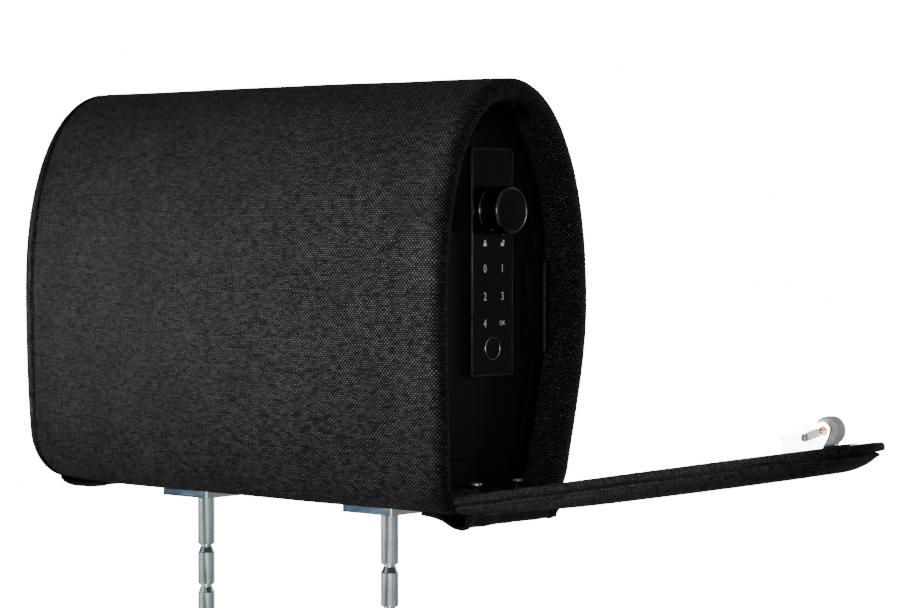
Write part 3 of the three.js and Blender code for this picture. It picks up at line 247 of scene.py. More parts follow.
def slab(name, profile, lump=None, clothShift=0, rounded=False):
    # profile entries are x and depth, and if need be the share of full size and the draw-in at the top
    profile = [(*entry, *(1, 0)[len(entry) - 2:]) for entry in profile]
    rings = [ringAt(x, depth, share, drawIn, lump, rounded) for x, depth, share, drawIn in profile]
    low, high = [[Vector((profile[k][0], middle.x, middle.y))] for k in (0, -1)]
    centre = [(middle.x + clothShift, middle.y)]
    cloth = [centre, *slabCloth(profile, clothShift), centre]
    return skinRings(name, [low, *rings, high], cloth, smoothDegrees=55)


def arcProfile(x, depth, radius, fromDeg, toDeg, steps):
    turns = [radians(fromDeg + (toDeg - fromDeg) * i / steps) for i in range(steps + 1)]
    return [(x + radius * cos(a), depth + radius * sin(a)) for a in turns]


def turned(name, profile, steps, axis, centre, smoothDegrees=35):
    # a turned part from a closed profile of (radius, height), turned about an axis through centre
    bm = bmesh.new()
    rows = []
    for radius, height in profile:
        turns = [2 * pi * i / steps for i in range(steps if radius else 1)]
        rows.append([bm.verts.new((radius * mm * cos(a), radius * mm * sin(a), height * mm)) for a in turns])
    pairs = list(zip(rows, rows[1:]))
    if len(rows[0]) > 1:
        pairs.append((rows[-1], rows[0]))
    for a, b in pairs:
        for i in range(steps):
            k = (i + 1) % steps
            corners = dict.fromkeys([a[i % len(a)], a[k % len(a)], b[k % len(b)], b[i % len(b)]])
            if len(corners) > 2:
                bm.faces.new(list(corners))
    turn = {"Z": Matrix.Identity(4), "X": Matrix.Rotation(pi / 2, 4, "Y"),
            "Y": Matrix.Rotation(-pi / 2, 4, "X")}[axis]
    bm.transform(Matrix.Translation(Vector(centre) * mm) @ turn)
    return meshObject(name, bm, smoothDegrees)


refining = dict(merge=0.00001, flatDegrees=1, sharpDegrees=38, smoothDegrees=35)


def refined(name, nodeName, bevel, segments=2):
    # a CAD piece's own shape with its edges broken
    bm = bmesh.new()
    bm.from_mesh(cadNodes[nodeName].data)
    bmesh.ops.remove_doubles(bm, verts=bm.verts, dist=refining["merge"])
    flat = radians(refining["flatDegrees"])
    bmesh.ops.dissolve_limit(bm, angle_limit=flat, verts=bm.verts, edges=bm.edges)
    obj = meshObject(name, bm, refining["smoothDegrees"])
    edges = obj.modifiers.new("brokenEdges", "BEVEL")
    edges.width = bevel * mm
    edges.segments = segments
    edges.limit_method = "ANGLE"
    edges.angle_limit = radians(refining["sharpDegrees"])
    return obj


def evaluatedMesh(obj):
    bpy.context.view_layer.update()
    return bpy.data.meshes.new_from_object(obj.evaluated_get(bpy.context.evaluated_depsgraph_get()))


def cutAway(obj, cutters):
    for cutter in cutters:
        cut = obj.modifiers.new("cut", "BOOLEAN")
        cut.operation = "DIFFERENCE"
        cut.solver = "EXACT"
        cut.object = cutter
    mesh = evaluatedMesh(obj)
    obj.modifiers.clear()
    obj.data = mesh
    for cutter in cutters:
        bpy.data.objects.remove(cutter)


def boxCutter(low, high):
    bm = bmesh.new()
    bmesh.ops.create_cube(bm, size=1)
    bmesh.ops.scale(bm, vec=(Vector(high) - Vector(low)) * mm, verts=bm.verts)
    bmesh.ops.translate(bm, vec=(Vector(low) + Vector(high)) / 2 * mm, verts=bm.verts)
    return meshObject("cutter", bm, 0)


# shader nodes
def nodeGroup(name, inputs, outputs):
    group = bpy.data.node_groups.new(name, "ShaderNodeTree")
    for label, kind, value in inputs:
        socket = group.interface.new_socket(name=label, in_out="INPUT", socket_type="NodeSocket" + kind)
        if value is not None:
            socket.default_value = value
    for label, kind in outputs:
        group.interface.new_socket(name=label, in_out="OUTPUT", socket_type="NodeSocket" + kind)
    return group, group.nodes.new("NodeGroupInput").outputs, group.nodes.new("NodeGroupOutput").inputs


def wireAll(tree, inputs, values):
    # sets or links inputs, by name or in their order
    for label, value in values.items() if isinstance(values, dict) else enumerate(values):
        if isinstance(value, bpy.types.NodeSocket):
            tree.links.new(value, inputs[label])
        elif value is not None:
            inputs[label].default_value = value


def addNode(tree, kind, values=(), **settings):
    # gives back the new node's outputs
    node = tree.nodes.new("ShaderNode" + kind)
    for label, setting in settings.items():
        setattr(node, label, setting)
    wireAll(tree, node.inputs, values)
    return node.outputs


def useGroup(tree, group, values):
    return addNode(tree, "Group", values, node_tree=group)


def maths(tree, operation, a, b=None, c=None):
    return addNode(tree, "Math", (a, b, c), operation=operation)[0]


def times(tree, a, b):
    return maths(tree, "MULTIPLY", a, b)


def vectorOf(tree, x, y, z=0.0):
    return addNode(tree, "CombineXYZ", (x, y, z))[0]


def splitUp(tree, vector):
    return addNode(tree, "SeparateXYZ", (vector,))


def alongWay(tree, way, side):
    return addNode(tree, "VectorMath", (way, side), operation="DOT_PRODUCT")["Value"]


def noiseAt(tree, spot, scale, detail=2.0):
    return addNode(tree, "TexNoise", {"Vector": spot, "Scale": scale, "Detail": detail})["Fac"]


def ranged(tree, value, fromLow=0.0, fromHigh=1.0, toLow=0.0, toHigh=1.0):
    return addNode(tree, "MapRange", (value, fromLow, fromHigh, toLow, toHigh))["Result"]


def mixed(tree, share, a, b, kind="RGBA"):
    first, result = {"RGBA": (6, 2), "FLOAT": (2, 0)}[kind]
    return addNode(tree, "Mix", {0: share, first: a, first + 1: b}, data_type=kind)[result]


def bumped(tree, height, strength, distance):
    return addNode(tree, "Bump", {"Strength": strength, "Distance": distance, "Height": height})["Normal"]


weaveLook = dict(wander=0.4, wanderScale=110.0, warpApart=3.71, weftApart=5.13, weftDepth=9.0, slubDetail=1.5,
                 lit=(0.34, 0.66, 0.2, 1.0), arch=(0.25, 0.95, 0.0, 1.0), cloudScale=26.0,
                 cloud=(0.3, 0.7, 0.85, 1.12), calm=(0.3, 0.7, 0.35, 1.65), height=(0.0, 1.0, 0.6, 1.2))


def makeHeatherWeave():
    # plain weave of slubby threads: each thread has its own run of light and dark
    group, given, result = nodeGroup("heatherWeave", [
        ("Cloth Place", "Vector", None), ("Thread Pitch", "Float", 0.0009), ("Slub Length", "Float", 0.007),
        ("Dark Yarn", "Color", (0.01, 0.01, 0.01, 1)), ("Light Yarn", "Color", (0.1, 0.1, 0.1, 1)),
        ("Fleck", "Float", 0.5), ("Warp Share", "Float", 0.3), ("Soften", "Float", 0.0), ("Even Tone", "Float", 0.3),
    ], [("Color", "Color"), ("Height", "Float"), ("Yarn Tone", "Float")])
    look, spot, pitch, slub = weaveLook, given["Cloth Place"], given["Thread Pitch"], given["Slub Length"]
    u, v, _ = splitUp(group, spot)
    wander = ranged(group, noiseAt(group, spot, look["wanderScale"], 1.0), 0.0, 1.0, -look["wander"], look["wander"])
    across, along = [maths(group, "ADD", maths(group, "DIVIDE", way, pitch), wander) for way in (u, v)]
    warpNumber, weftNumber = maths(group, "FLOOR", across), maths(group, "FLOOR", along)
    warpArch, weftArch = [maths(group, "ABSOLUTE", maths(group, "SINE", times(group, way, pi)))
                          for way in (across, along)]
    over = maths(group, "PINGPONG", maths(group, "ADD", warpNumber, weftNumber), 1.0)
    warpRun = vectorOf(group, times(group, warpNumber, look["warpApart"]), maths(group, "DIVIDE", v, slub))
    weftRun = vectorOf(group, maths(group, "DIVIDE", u, slub), times(group, weftNumber, look["weftApart"]),
                       look["weftDepth"])
    warpTone, weftTone = [noiseAt(group, run, 1.0, look["slubDetail"]) for run in (warpRun, weftRun)]
    tone = mixed(group, over, weftTone, warpTone, "FLOAT")
    arch = mixed(group, over, weftArch, warpArch, "FLOAT")
    lit = ranged(group, tone, *look["lit"])
    shown = times(group, lit, mixed(group, over, 1.0, given["Warp Share"], "FLOAT"))
    shaded = times(group, shown, ranged(group, arch, *look["arch"]))
    cloud = ranged(group, noiseAt(group, spot, look["cloudScale"], 3.0), *look["cloud"])
    calm = times(group, given["Even Tone"], ranged(group, tone, *look["calm"]))
    even = mixed(group, given["Soften"], shaded, calm, "FLOAT")
    strength = times(group, times(group, even, given["Fleck"]), cloud)
    wireAll(group, result, {
        "Color": mixed(group, strength, given["Dark Yarn"], given["Light Yarn"]),
        "Height": times(group, arch, ranged(group, tone, *look["height"])), "Yarn Tone": lit})
    return group


def makeFineGrain():
    # fine pebble and broad mottle for coats and moulded surfaces
    group, given, result = nodeGroup("fineGrain", [
        ("Grain Size", "Float", 0.0006), ("Mottle Size", "Float", 0.03)], [("Grain", "Float"), ("Mottle", "Float")])
    spot = addNode(group, "TexCoord")["Object"]
    for label, detail in (("Grain", 2.0), ("Mottle", 3.0)):
        scale = maths(group, "DIVIDE", 1.0, given[label + " Size"])
        wireAll(group, result, {label: noiseAt(group, spot, scale, detail)})
    return group


def makeDrawnLines():
    # lines left by drawing or turning, stretched along one direction
    group, given, result = nodeGroup("drawnLines", [
        ("Direction", "Vector", (1, 1, 0.02)), ("Line Size", "Float", 0.0004)], [("Lines", "Float")])
    spot = addNode(group, "TexCoord")["Object"]
    stretched = addNode(group, "VectorMath", (spot, given["Direction"]), operation="MULTIPLY")[0]
    scale = maths(group, "DIVIDE", 1.0, given["Line Size"])
    wireAll(group, result, {"Lines": noiseAt(group, stretched, scale)})
    return group


heatherWeave, fineGrain, drawnLines = makeHeatherWeave(), makeFineGrain(), makeDrawnLines()


# materials
def startMaterial(name, constants):
    material = bpy.data.materials.new(name)
    material.use_nodes = True
    inputs = material.node_tree.nodes["Principled BSDF"].inputs
    wireAll(material.node_tree, inputs, constants)
    return material, material.node_tree, inputs


def wovenCloth(name, look):
    material, tree, inputs = startMaterial(name, {
        "Sheen Weight": look["sheen"], "Sheen Roughness": 0.5, "Specular IOR Level": look["specular"]})
    spot = addNode(tree, "UVMap", uv_map="clothMap")[0]
    soften = ranged(tree, splitUp(tree, spot)[0], *look["softRange"], look["softMost"], 0.0)
    weave = useGroup(tree, heatherWeave, {
        "Cloth Place": spot, "Thread Pitch": look["pitch"], "Slub Length": look["slub"], "Fleck": look["fleck"],
        "Warp Share": look["warpShare"], "Soften": soften, "Even Tone": look["evenTone"],
        "Dark Yarn": (*look["dark"], 1), "Light Yarn": (*look["light"], 1)})
    rough = look["roughness"]
    wireAll(tree, inputs, {
        "Base Color": weave["Color"], "Roughness": ranged(tree, weave["Yarn Tone"], 0.0, 1.0, rough, rough - 0.15),
        "Normal": bumped(tree, weave["Height"], look["bump"], look["pitch"] * 0.5)})
    return material


plainCoat = dict(specular=0.5, coat=0.0, coatRoughness=0.1, subsurface=0.0, glow=0.0, mottle=0.03, spread=0.05)


def grainyCoat(name, **own):
    look = dict(plainCoat, **own)
    light, rough, spread = (*look["light"], 1), look["roughness"], look["spread"]
    material, tree, inputs = startMaterial(name, {
        "Specular IOR Level": look["specular"], "Coat Weight": look["coat"], "Coat Roughness": look["coatRoughness"],
        "Subsurface Weight": look["subsurface"], "Subsurface Scale": 0.004, "Emission Strength": look["glow"],
        "Emission Color": light})
    grain = useGroup(tree, fineGrain, {"Grain Size": look["grain"], "Mottle Size": look["mottle"]})
    wireAll(tree, inputs, {
        "Base Color": mixed(tree, ranged(tree, grain["Mottle"], 0.3, 0.7), (*look["dark"], 1), light),
        "Roughness": ranged(tree, grain["Mottle"], 0.3, 0.7, rough - spread, rough + spread),
        "Normal": bumped(tree, grain["Grain"], look["bump"], look["grain"] * 0.4)})
    return material


def platedMetal(name, **look):
    light, rough = (*look["light"], 1), look["roughness"]
    material, tree, inputs = startMaterial(name, {
        "Metallic": 1.0, "Emission Strength": look.get("glow", 0.0), "Emission Color": light})
    mottle = useGroup(tree, fineGrain, {"Grain Size": look["grain"], "Mottle Size": look["mottle"]})["Mottle"]
    lines = useGroup(tree, drawnLines, {"Direction": look["direction"], "Line Size": look["lineSize"]})["Lines"]
    share = maths(tree, "ADD", times(tree, mottle, 0.6), times(tree, lines, 0.4))
    color = mixed(tree, ranged(tree, share, 0.35, 0.65), (*look["dark"], 1), light)
    if "sides" in look:
        # painted highlight: the faces turned along X are painted paler
        normal = splitUp(tree, addNode(tree, "NewGeometry")["True Normal"])
        paintedSideHighlight = ranged(tree, maths(tree, "ABSOLUTE", normal[0]), 0.3, 0.8)
        color = mixed(tree, paintedSideHighlight, color, (*look["sides"], 1))
    if "edgeUp" in look:
        # painted shade: faces turned away from the sheet's flat sides are painted dark from a certain height up
        coords = addNode(tree, "TexCoord")
        normal = splitUp(tree, coords["Normal"])
        cut = ranged(tree, maths(tree, "ABSOLUTE", normal[1]), 0.93, 0.985, 1.0, 0.0)
        height = alongWay(tree, coords["Object"], look["edgeUp"])
        dark = times(tree, cut, ranged(tree, height, look["edgeFrom"], look["edgeFrom"] + 0.0004))
        color = mixed(tree, dark, color, (*look["edgeTone"], 1))
        wireAll(tree, inputs, {"Metallic": maths(tree, "SUBTRACT", 1.0, dark)})
    wireAll(tree, inputs, {
        "Base Color": color, "Roughness": ranged(tree, lines, 0.3, 0.7, rough - 0.06, rough + 0.08),
        "Normal": bumped(tree, lines, look["bump"], look["lineSize"] * 0.3)})
    return material


clothLook = dict(
    pitch=0.00114, slub=0.005, dark=(0.005, 0.005, 0.0055), light=(0.28, 0.279, 0.284), fleck=0.9, warpShare=0.1,
    softRange=(0.03, 0.26), softMost=0.75, evenTone=0.175, sheen=0.03, specular=0.12, roughness=0.95, bump=0.6)
stripLook = dict(
    clothLook, pitch=0.0005, slub=0.012, dark=(0.006, 0.006, 0.0065), light=(0.03, 0.03, 0.032), fleck=0.6,
    softMost=0.0, sheen=0.1, roughness=0.6, bump=0.25)
flapLook = dict(clothLook, softRange=(3000, 3001), evenTone=0.18, bump=0.3)  # softened all over
sheetLook = dict(
    dark=(0.84, 0.81, 0.79), light=(0.95, 0.93, 0.92), grain=0.0006, mottle=0.01, direction=(0.05, 1, 1),
    lineSize=0.0004, roughness=0.22, bump=0.06)
finishes = {
    "cover_weave": wovenCloth("coverWeave", clothLook),
    "strip_fabric": wovenCloth("stripSatin", stripLook),
    "foam": grainyCoat(
        "foamGrey", dark=(0.05, 0.05, 0.052), light=(0.08, 0.08, 0.083), grain=0.0012, roughness=0.95, bump=0.6),
    "board": grainyCoat(
        "pressedBoard", dark=(0.09, 0.06, 0.04), light=(0.14, 0.1, 0.06), grain=0.0009, roughness=0.85, bump=0.4),
    "felt": grainyCoat(
        "blackFelt", dark=(0.008, 0.008, 0.009), light=(0.02, 0.02, 0.021), grain=0.0007, mottle=0.008,
        roughness=0.98, bump=0.9, specular=0.1),
    "black_steel": grainyCoat(
        "powderCoat", dark=(0.0052, 0.0052, 0.0056), light=(0.0085, 0.0085, 0.009), grain=0.0006, roughness=0.5,
        bump=0.18, specular=0.12),
    "zinc": platedMetal(
        "zincPlate", dark=(0.45, 0.56, 0.6), light=(0.78, 0.9, 0.94), grain=0.0008, mottle=0.012,
        direction=(1, 1, 0.03), lineSize=0.0006, roughness=0.15, bump=0.12, glow=0.05),
    "bright_steel": platedMetal("brightSheet", **sheetLook),
    "copper": platedMetal(
        "copperPin", dark=(0.55, 0.27, 0.17), light=(0.82, 0.48, 0.34), grain=0.0005, mottle=0.004,
        direction=(1, 0.1, 1), lineSize=0.0004, roughness=0.2, bump=0.1),
    "grey_plastic": grainyCoat(
        "rollerPlastic", dark=(0.62, 0.62, 0.63), light=(0.7, 0.7, 0.71), grain=0.0008, mottle=0.01,
        roughness=0.42, bump=0.08, subsurface=0.4, glow=0.24),
    "rubber": grainyCoat(
        "bumperRubber", dark=(0.008, 0.008, 0.008), light=(0.014, 0.014, 0.014), grain=0.0005, roughness=0.8,
        bump=0.3),
    "black_satin": grainyCoat(
        "satinBlack", dark=(0.0045, 0.0045, 0.0048), light=(0.007, 0.007, 0.0075), grain=0.0004, roughness=0.24,
        bump=0.04, specular=0.5),
    "black_gloss": grainyCoat(
        "glossBlack", dark=(0.0035, 0.0035, 0.0038), light=(0.005, 0.005, 0.0055), grain=0.0008, roughness=0.16,
        bump=0.01, specular=0.2, coat=0.08, coatRoughness=0.06),
    "board_green": grainyCoat(
        "boardGreen", dark=(0.01, 0.06, 0.025), light=(0.02, 0.11, 0.045), grain=0.0008, mottle=0.006,
        roughness=0.4, bump=0.1),
    "battery_wrap": grainyCoat(
        "shrinkWrap", dark=(0.02, 0.024, 0.03), light=(0.035, 0.04, 0.05), grain=0.003, roughness=0.25, bump=0.2,
        coat=0.3),
}
# finishes that only some pieces of a slot have
flapWeave = wovenCloth("flapWeave", flapLook)
printWhite = grainyCoat(
    "printWhite", dark=(0.42, 0.42, 0.43), light=(0.5, 0.5, 0.51), grain=0.0004, roughness=0.5, bump=0.05, glow=0.6)
# zinc darkened as painted shade on the post plates, with a painted highlight on their sides along X
plateZincPaintedShadeAndHighlight = platedMetal(
    "plateZincPaintedShadeAndHighlight", sides=(0.75, 0.76, 0.72), dark=(0.03, 0.048, 0.07), light=(0.07, 0.105, 0.145), grain=0.0008,
    mottle=0.012, direction=(0.05, 1, 1), lineSize=0.0005, roughness=0.38, bump=0.12)
readerSteel = platedMetal(
    "readerSteel", dark=(0.2, 0.2, 0.19), light=(0.42, 0.41, 0.38), grain=0.0005, mottle=0.004,
    direction=(1, 1, 1), lineSize=0.0004, roughness=0.2, bump=0.05)
# painted shade: a darker copy of the powder coat for the strike
strikeShadedBlack = grainyCoat(
    "strikeShadedBlack", dark=(0.0015, 0.0015, 0.0017), light=(0.003, 0.003, 0.0033), grain=0.0006, roughness=0.85,
    bump=0.15, specular=0.01)
stitchThread = grainyCoat(
    "stitchThread", dark=(0.05, 0.05, 0.055), light=(0.2, 0.2, 0.21), grain=0.0003, mottle=0.004, roughness=0.7,
    bump=0.4)

for subpart in frame["record"]["subparts"]:
    node = cadNodes[subpart["node"]]
    node.data.materials.clear()
    node.data.materials.append(finishes[subpart["material_slot"]])
print("materials made")


def place(piece, body, slot, *replaced, material=None):
    piece.data.materials.clear()
    piece.data.materials.append(material or finishes[slot])
    if body:
        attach(piece, body)
    if replaced:
        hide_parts(*replaced)


# cover, closed end and padding
coverLook = dict(
    ringStep=5.5, rollSteps=20, seamRun=3, seamEdge=((0.1, 1.3), (0.3, 0.7), (1.2, 0.2)), liningRings=(3.5, 7.5),
    softLump=0.45, lumpSize=70, pucker=0.35, puckerSize=9, puckerLength=40, puckerReach=22, mouthReach=0.6,
    backSwell=7.4, footSwell=0.2, crownSwell=0.5, swellReach=60)


def coverLump(v, out, swell):
    look = coverLook
    inward = max(v.x - mouth["leftX"], 0)
    nearSeam = exp(-inward / look["puckerReach"])
    nearMouth = exp(-max(mouth["x"] - v.x, 0) / (look["puckerReach"] * look["mouthReach"]))
    soft = noise.noise(v / look["lumpSize"]) * look["softLump"]
    fold = noise.noise(Vector((v.x / look["puckerLength"], v.y / look["puckerSize"], v.z / look["puckerSize"])))
    amount = soft * (1 - nearSeam) + fold * look["pucker"] * (nearSeam + 0.5 * nearMouth) - look["pucker"] * 0.5
    # the stuffing swells most at the back, and the closed end's seam holds it in
    held = 1 - exp(-inward / look["swellReach"])
    back = max(out.x, 0) ** 0.7 * look["backSwell"] * (1 - 0.5 * max(out.y, 0))
    crown = max(out.y, 0) * look["crownSwell"] * (1 - nearMouth)
    amount += swell * held * (back + crown + max(-out.y, 0) * look["footSwell"])
    return Vector((0, out.x, out.y)) * amount


def makeCover():
    look, leftX, lining, thick = coverLook, mouth["leftX"], mouth["liningDepth"], mouth["clothThick"]
    radius = lining / 2
    rollX, start = mouth["x"] - radius, leftX + look["seamRun"]
    steps = int((rollX - start - 1) / look["ringStep"])
    profile = [(leftX + inward, depth) for inward, depth in look["seamEdge"]]
    profile += [(start + (rollX - start) * i / steps, 0) for i in range(steps)]
    profile += arcProfile(rollX, radius, radius, -90, 90, look["rollSteps"])
    profile += [(rollX - inward, lining) for inward in look["liningRings"]]
    profile += [(mouth["recessX"], lining), (mouth["recessX"], lining - thick)]
    profile += arcProfile(rollX, radius, radius - thick, 90, -90, look["rollSteps"] // 2)
    profile.append((profile[0][0], thick))
    rings = []
    for x, depth in profile:
        share = min(1, max(0, 1 - depth / lining))
        tucked = x < rollX and depth > radius
        lump = None if tucked else lambda v, out: coverLump(v, out, share)
        rings.append(ringAt(x, depth, lump=lump, rounded=not tucked))
    cover = skinRings("cover", rings, sleeveCloth(profile), roundTrip=True, smoothDegrees=60)
    place(cover, "headrest", "cover_weave", "fabric_cover")


capLook = dict(
    backX=-180.3, rebate=3.6, rebateX=-183.6, rebateTop=1.6, lipX=-182.5, wallX=-184.5, faceX=-192.2, inset=0.15,
    lip=((0.3, 1.3), (0, 1), (0.3, 0.5), (1, 0.2)), rounding=7, roundDegrees=78, crown=2.2, rings=16, lump=0.5,
    lumpSize=55, pulledIn=7.8, pullPower=4.5)


def capLump(v, out):
    # the cushion is drawn in towards the cover at its top and foot
    look = capLook
    reach = abs(v.z - section["floorZ"] - section["height"] / 2) / (section["height"] / 2)
    edge = (look["rebateX"] - v.x) / (look["rebateX"] - look["faceX"])
    pull = look["pulledIn"] * reach ** look["pullPower"] * min(max(edge, 0), 1)
    return Vector((pull, 0, 0)) + Vector((0, out.x, out.y)) * noise.noise(v / look["lumpSize"]) * look["lump"]


def makeLeftCap():
    look, r = capLook, capLook["rounding"]
    profile = [(look["backX"], look["rebate"], share) for share in (0.5, 0.9, 1)]
    profile += [(look["rebateX"], look["rebate"]), (look["rebateX"], look["rebateTop"])]
    profile += [(look["lipX"] - back, depth) for back, depth in look["lip"]]
    squash = (look["wallX"] - look["faceX"]) / r
    for x, depth in arcProfile(r, look["inset"] + r, r, 270, 270 - look["roundDegrees"], 8):
        profile.append((look["faceX"] + squash * x, depth))
    edge = profile[-1]
    for i in range(1, look["rings"]):
        share = 1 - i / look["rings"]
        profile.append((edge[0] - look["crown"] * (1 - share ** 2.2), edge[1], share))
    cap = slab("leftCap", profile, capLump, clothShift=-300, rounded=True)
    place(cap, "headrest", "cover_weave", "left_pad")


weltLook = dict(x=-181.9, depth=3.1, radius=1.5, sides=12)


def makeWelt():
    look = weltLook
    profile = arcProfile(look["x"], look["depth"], look["radius"], 0, 360, look["sides"])[:-1]
    rings = [ringAt(x, depth, rounded=True) for x, depth in profile]
    welt = skinRings("leftWelt", rings, sleeveCloth(profile), roundTrip=True)
    place(welt, "headrest", "cover_weave", "left_piping")


paddingLook = dict(leftX=-176.9, inner=7.9, outer=1.8, clothGap=0.3, endDepth=8.2, boardEdge=0.6)


def makePadding():
    look, inner, outer = paddingLook, paddingLook["inner"], paddingLook["outer"]
    bead = mouth["liningDepth"] / 2 - mouth["clothThick"] - look["clothGap"]
    rollX = mouth["x"] - mouth["liningDepth"] / 2
    profile = [(look["leftX"], outer)] + arcProfile(rollX, bead + outer, bead, -90, 90, 8)
    profile += [(rollX, inner), (look["leftX"], inner)]
    rings = [ringAt(x, depth, rounded=depth < inner) for x, depth in profile]
    foam = skinRings("foamPadding", rings, sleeveCloth(profile), roundTrip=True)
    place(foam, "headrest", "foam", "foam_sleeve")
    low, high = [corner.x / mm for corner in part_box("end_foam")]
    ends = [(x, look["endDepth"], share) for x, share in ((low, 0.5), (low, 1), (high, 1), (high, 0.5))]
    endFoam = slab("endPadding", ends)
    place(endFoam, "headrest", "foam", "end_foam")
    low, high = [corner.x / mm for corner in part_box("left_board")]
    edge = look["boardEdge"]
    sides = [(low, outer + edge), (low + edge, outer), (high - edge, outer), (high, outer + edge)]
    board = slab("leftBoard", [(*sides[0], 0.5), *sides, (*sides[-1], 0.5)], rounded=True)
    place(board, "headrest", "board", "left_board")


makeCover()
makeLeftCap()
makeWelt()
makePadding()
print("cover and closed end made")

# flap, built shut over the mouth and turned open
openFlap = (Matrix.Translation(Vector((hinge["x"], 0, hinge["z"])) * mm)
            @ Matrix.Rotation(radians(hinge["openDegrees"]), 4, "Y")
            @ Matrix.Translation(Vector((-hinge["x"], 0, -hinge["z"])) * mm))
flapBoard = dict(faceX=150.3, thick=4.5, roll=2.1, backRoll=1.6, rings=14, lump=0.3, lumpSize=40, sunk=0.6)
flapPad = dict(
    frontX=154.9, faceX=163.3, inset=1.2, groove=2.6, rounding=5.2, roundDegrees=84, crown=0.8, rings=14, lump=0.4,
    lumpSize=45, sunk=0.5, tipStart=1.3, tipWall=5.4, tipFace=22, tipCurve=1.15, heelThin=0.45, heelReach=75)


def roundNose(v):
    # the hinge end stays inside a radius about the pin
    x, z = v.x - hinge["x"], v.z - hinge["z"]
    reach = hypot(x, z)
    if x < 0 and z < 0 and reach > hinge["depth"]:
        return Vector((hinge["x"] + x * hinge["depth"] / reach, v.y, hinge["z"] + z * hinge["depth"] / reach))
    return v


def thinHeel(v):
    # the cushion is thinner towards the hinge
    look = flapPad
    rise = min(max((v.z - section["floorZ"]) / look["heelReach"], 0), 1)
    keep = 1 - look["heelThin"] * (1 - rise) ** 1.5
    return Vector((look["frontX"] + (v.x - look["frontX"]) * keep, v.y, v.z))


def flapSlab(name, profile, look, clothShift):
    def lump(v, out):
        amount = noise.noise(v / look["lumpSize"]) * look["lump"] - look["lump"] * look["sunk"]
        return Vector((0, out.x, out.y)) * amount

    obj = slab(name, profile, lump, clothShift)
    for vert in obj.data.vertices:
        spot = vert.co / mm
        vert.co = roundNose(thinHeel(spot) if "heelThin" in look else spot) * mm
    lowX, highX = hinge["roomX"]
    rooms = [boxCutter((lowX, y - hinge["armRoom"], 0), (highX, y + hinge["armRoom"], hinge["z"] + hinge["roomTop"]))
             for y in hinge["armYs"]]
    r, half = hinge["barrel"], hinge["barrelHalf"]
    barrel = turned("cutter", [(0, -half), (r, -half), (r, half), (0, half)], 48, "Y",
                    (hinge["x"], hinge["barrelY"], hinge["z"]))
    cutAway(obj, [*rooms, barrel])
    obj.data.transform(openFlap)
    sharpenEdges(obj.data, 50)
    return obj


def makeFlapBoard():
    look, roll, back = flapBoard, flapBoard["roll"], flapBoard["backRoll"]
    backX = look["faceX"] + look["thick"]
    profile = [(look["faceX"], roll, i / look["rings"]) for i in range(1, look["rings"] + 1)]
    profile += arcProfile(look["faceX"] + roll, roll, roll, 180, 270, 6)[1:]
    profile += [*arcProfile(backX - back, back, back, 270, 360, 5), (backX, back, 0.9), (backX, back, 0.5)]
    board = flapSlab("flapBoardCover", profile, look, 600)
    place(board, "flap", "cover_weave", "flap_board", material=flapWeave)


def makeFlapPad():
    look, r, tip = flapPad, flapPad["rounding"], flapPad["tipStart"]
    inset, groove, frontX = look["inset"], look["groove"], look["frontX"]
    profile = [(frontX, inset + groove, share, tip) for share in (0.5, 0.9, 1)]
    profile += [(frontX + 0.7, inset + groove * 0.55, 1, tip), (frontX + 1.8, inset + 0.2, 1, tip)]
    for i, (x, depth) in enumerate(arcProfile(look["faceX"] - r, inset + r, r, 270, 270 + look["roundDegrees"], 8)):
        drawIn = look["tipWall"] + (look["tipFace"] - look["tipWall"]) * (i / 8) ** look["tipCurve"]
        profile.append((x, depth, 1, drawIn))
    edge = profile[-1]
    for i in range(1, look["rings"]):
        share = 1 - i / look["rings"]
        bulge = look["crown"] * (1 - share ** 2.5)
        profile.append((edge[0] + bulge, edge[1], share, look["tipFace"] * min(1, share * 2)))
    pad = flapSlab("flapCushion", profile, look, 900)
    place(pad, "flap", "cover_weave", "flap_pad", material=flapWeave)


flapStitch = dict(x=156.7, depth=1.1, pitch=2.3, length=1.3, radius=0.26, sides=6, startZ=16, endZ=196,
                  taper=((0, 0.35), (0.12, 1), (0.88, 1), (1, 0.35)))


def addStitch(bm, a, b, look):
    side = (b - a).normalized().orthogonal().normalized()
    other = (b - a).normalized().cross(side)
    turns = [2 * pi * i / look["sides"] for i in range(look["sides"])]
    rows = []
    for share, width in look["taper"]:
        centre, radius = a.lerp(b, share), look["radius"] * width
        rows.append([bm.verts.new((centre + (side * cos(t) + other * sin(t)) * radius) * mm) for t in turns])
    for low, high in zip(rows, rows[1:]):
        for i in range(look["sides"]):
            k = (i + 1) % look["sides"]
            bm.faces.new((low[i], low[k], high[k], high[i]))
    bm.faces.new(rows[0])
    bm.faces.new(rows[-1])


def makeFlapStitches():
    look = flapStitch
    bm = bmesh.new()
    for i in range(int(outlineLength / look["pitch"])):
        ends = []
        for shift in (0, look["length"]):
            t = (i * look["pitch"] + shift) / outlineLength * len(outline)
            k = int(t) % len(outline)
            a, b = outline[k], outline[(k + 1) % len(outline)]
            p = a[0].lerp(b[0], t - int(t)) - a[1] * look["depth"]
            ends.append(Vector((look["x"], p.x, p.y)))
        if look["startZ"] < min(end.z for end in ends) < look["endZ"]:
            addStitch(bm, *ends, look)
    stitches = meshObject("flapStitches", bm)
    stitches.data.transform(openFlap)
    place(stitches, "flap", "cover_weave", material=stitchThread)


makeFlapBoard()
makeFlapPad()
makeFlapStitches()
print("flap made")

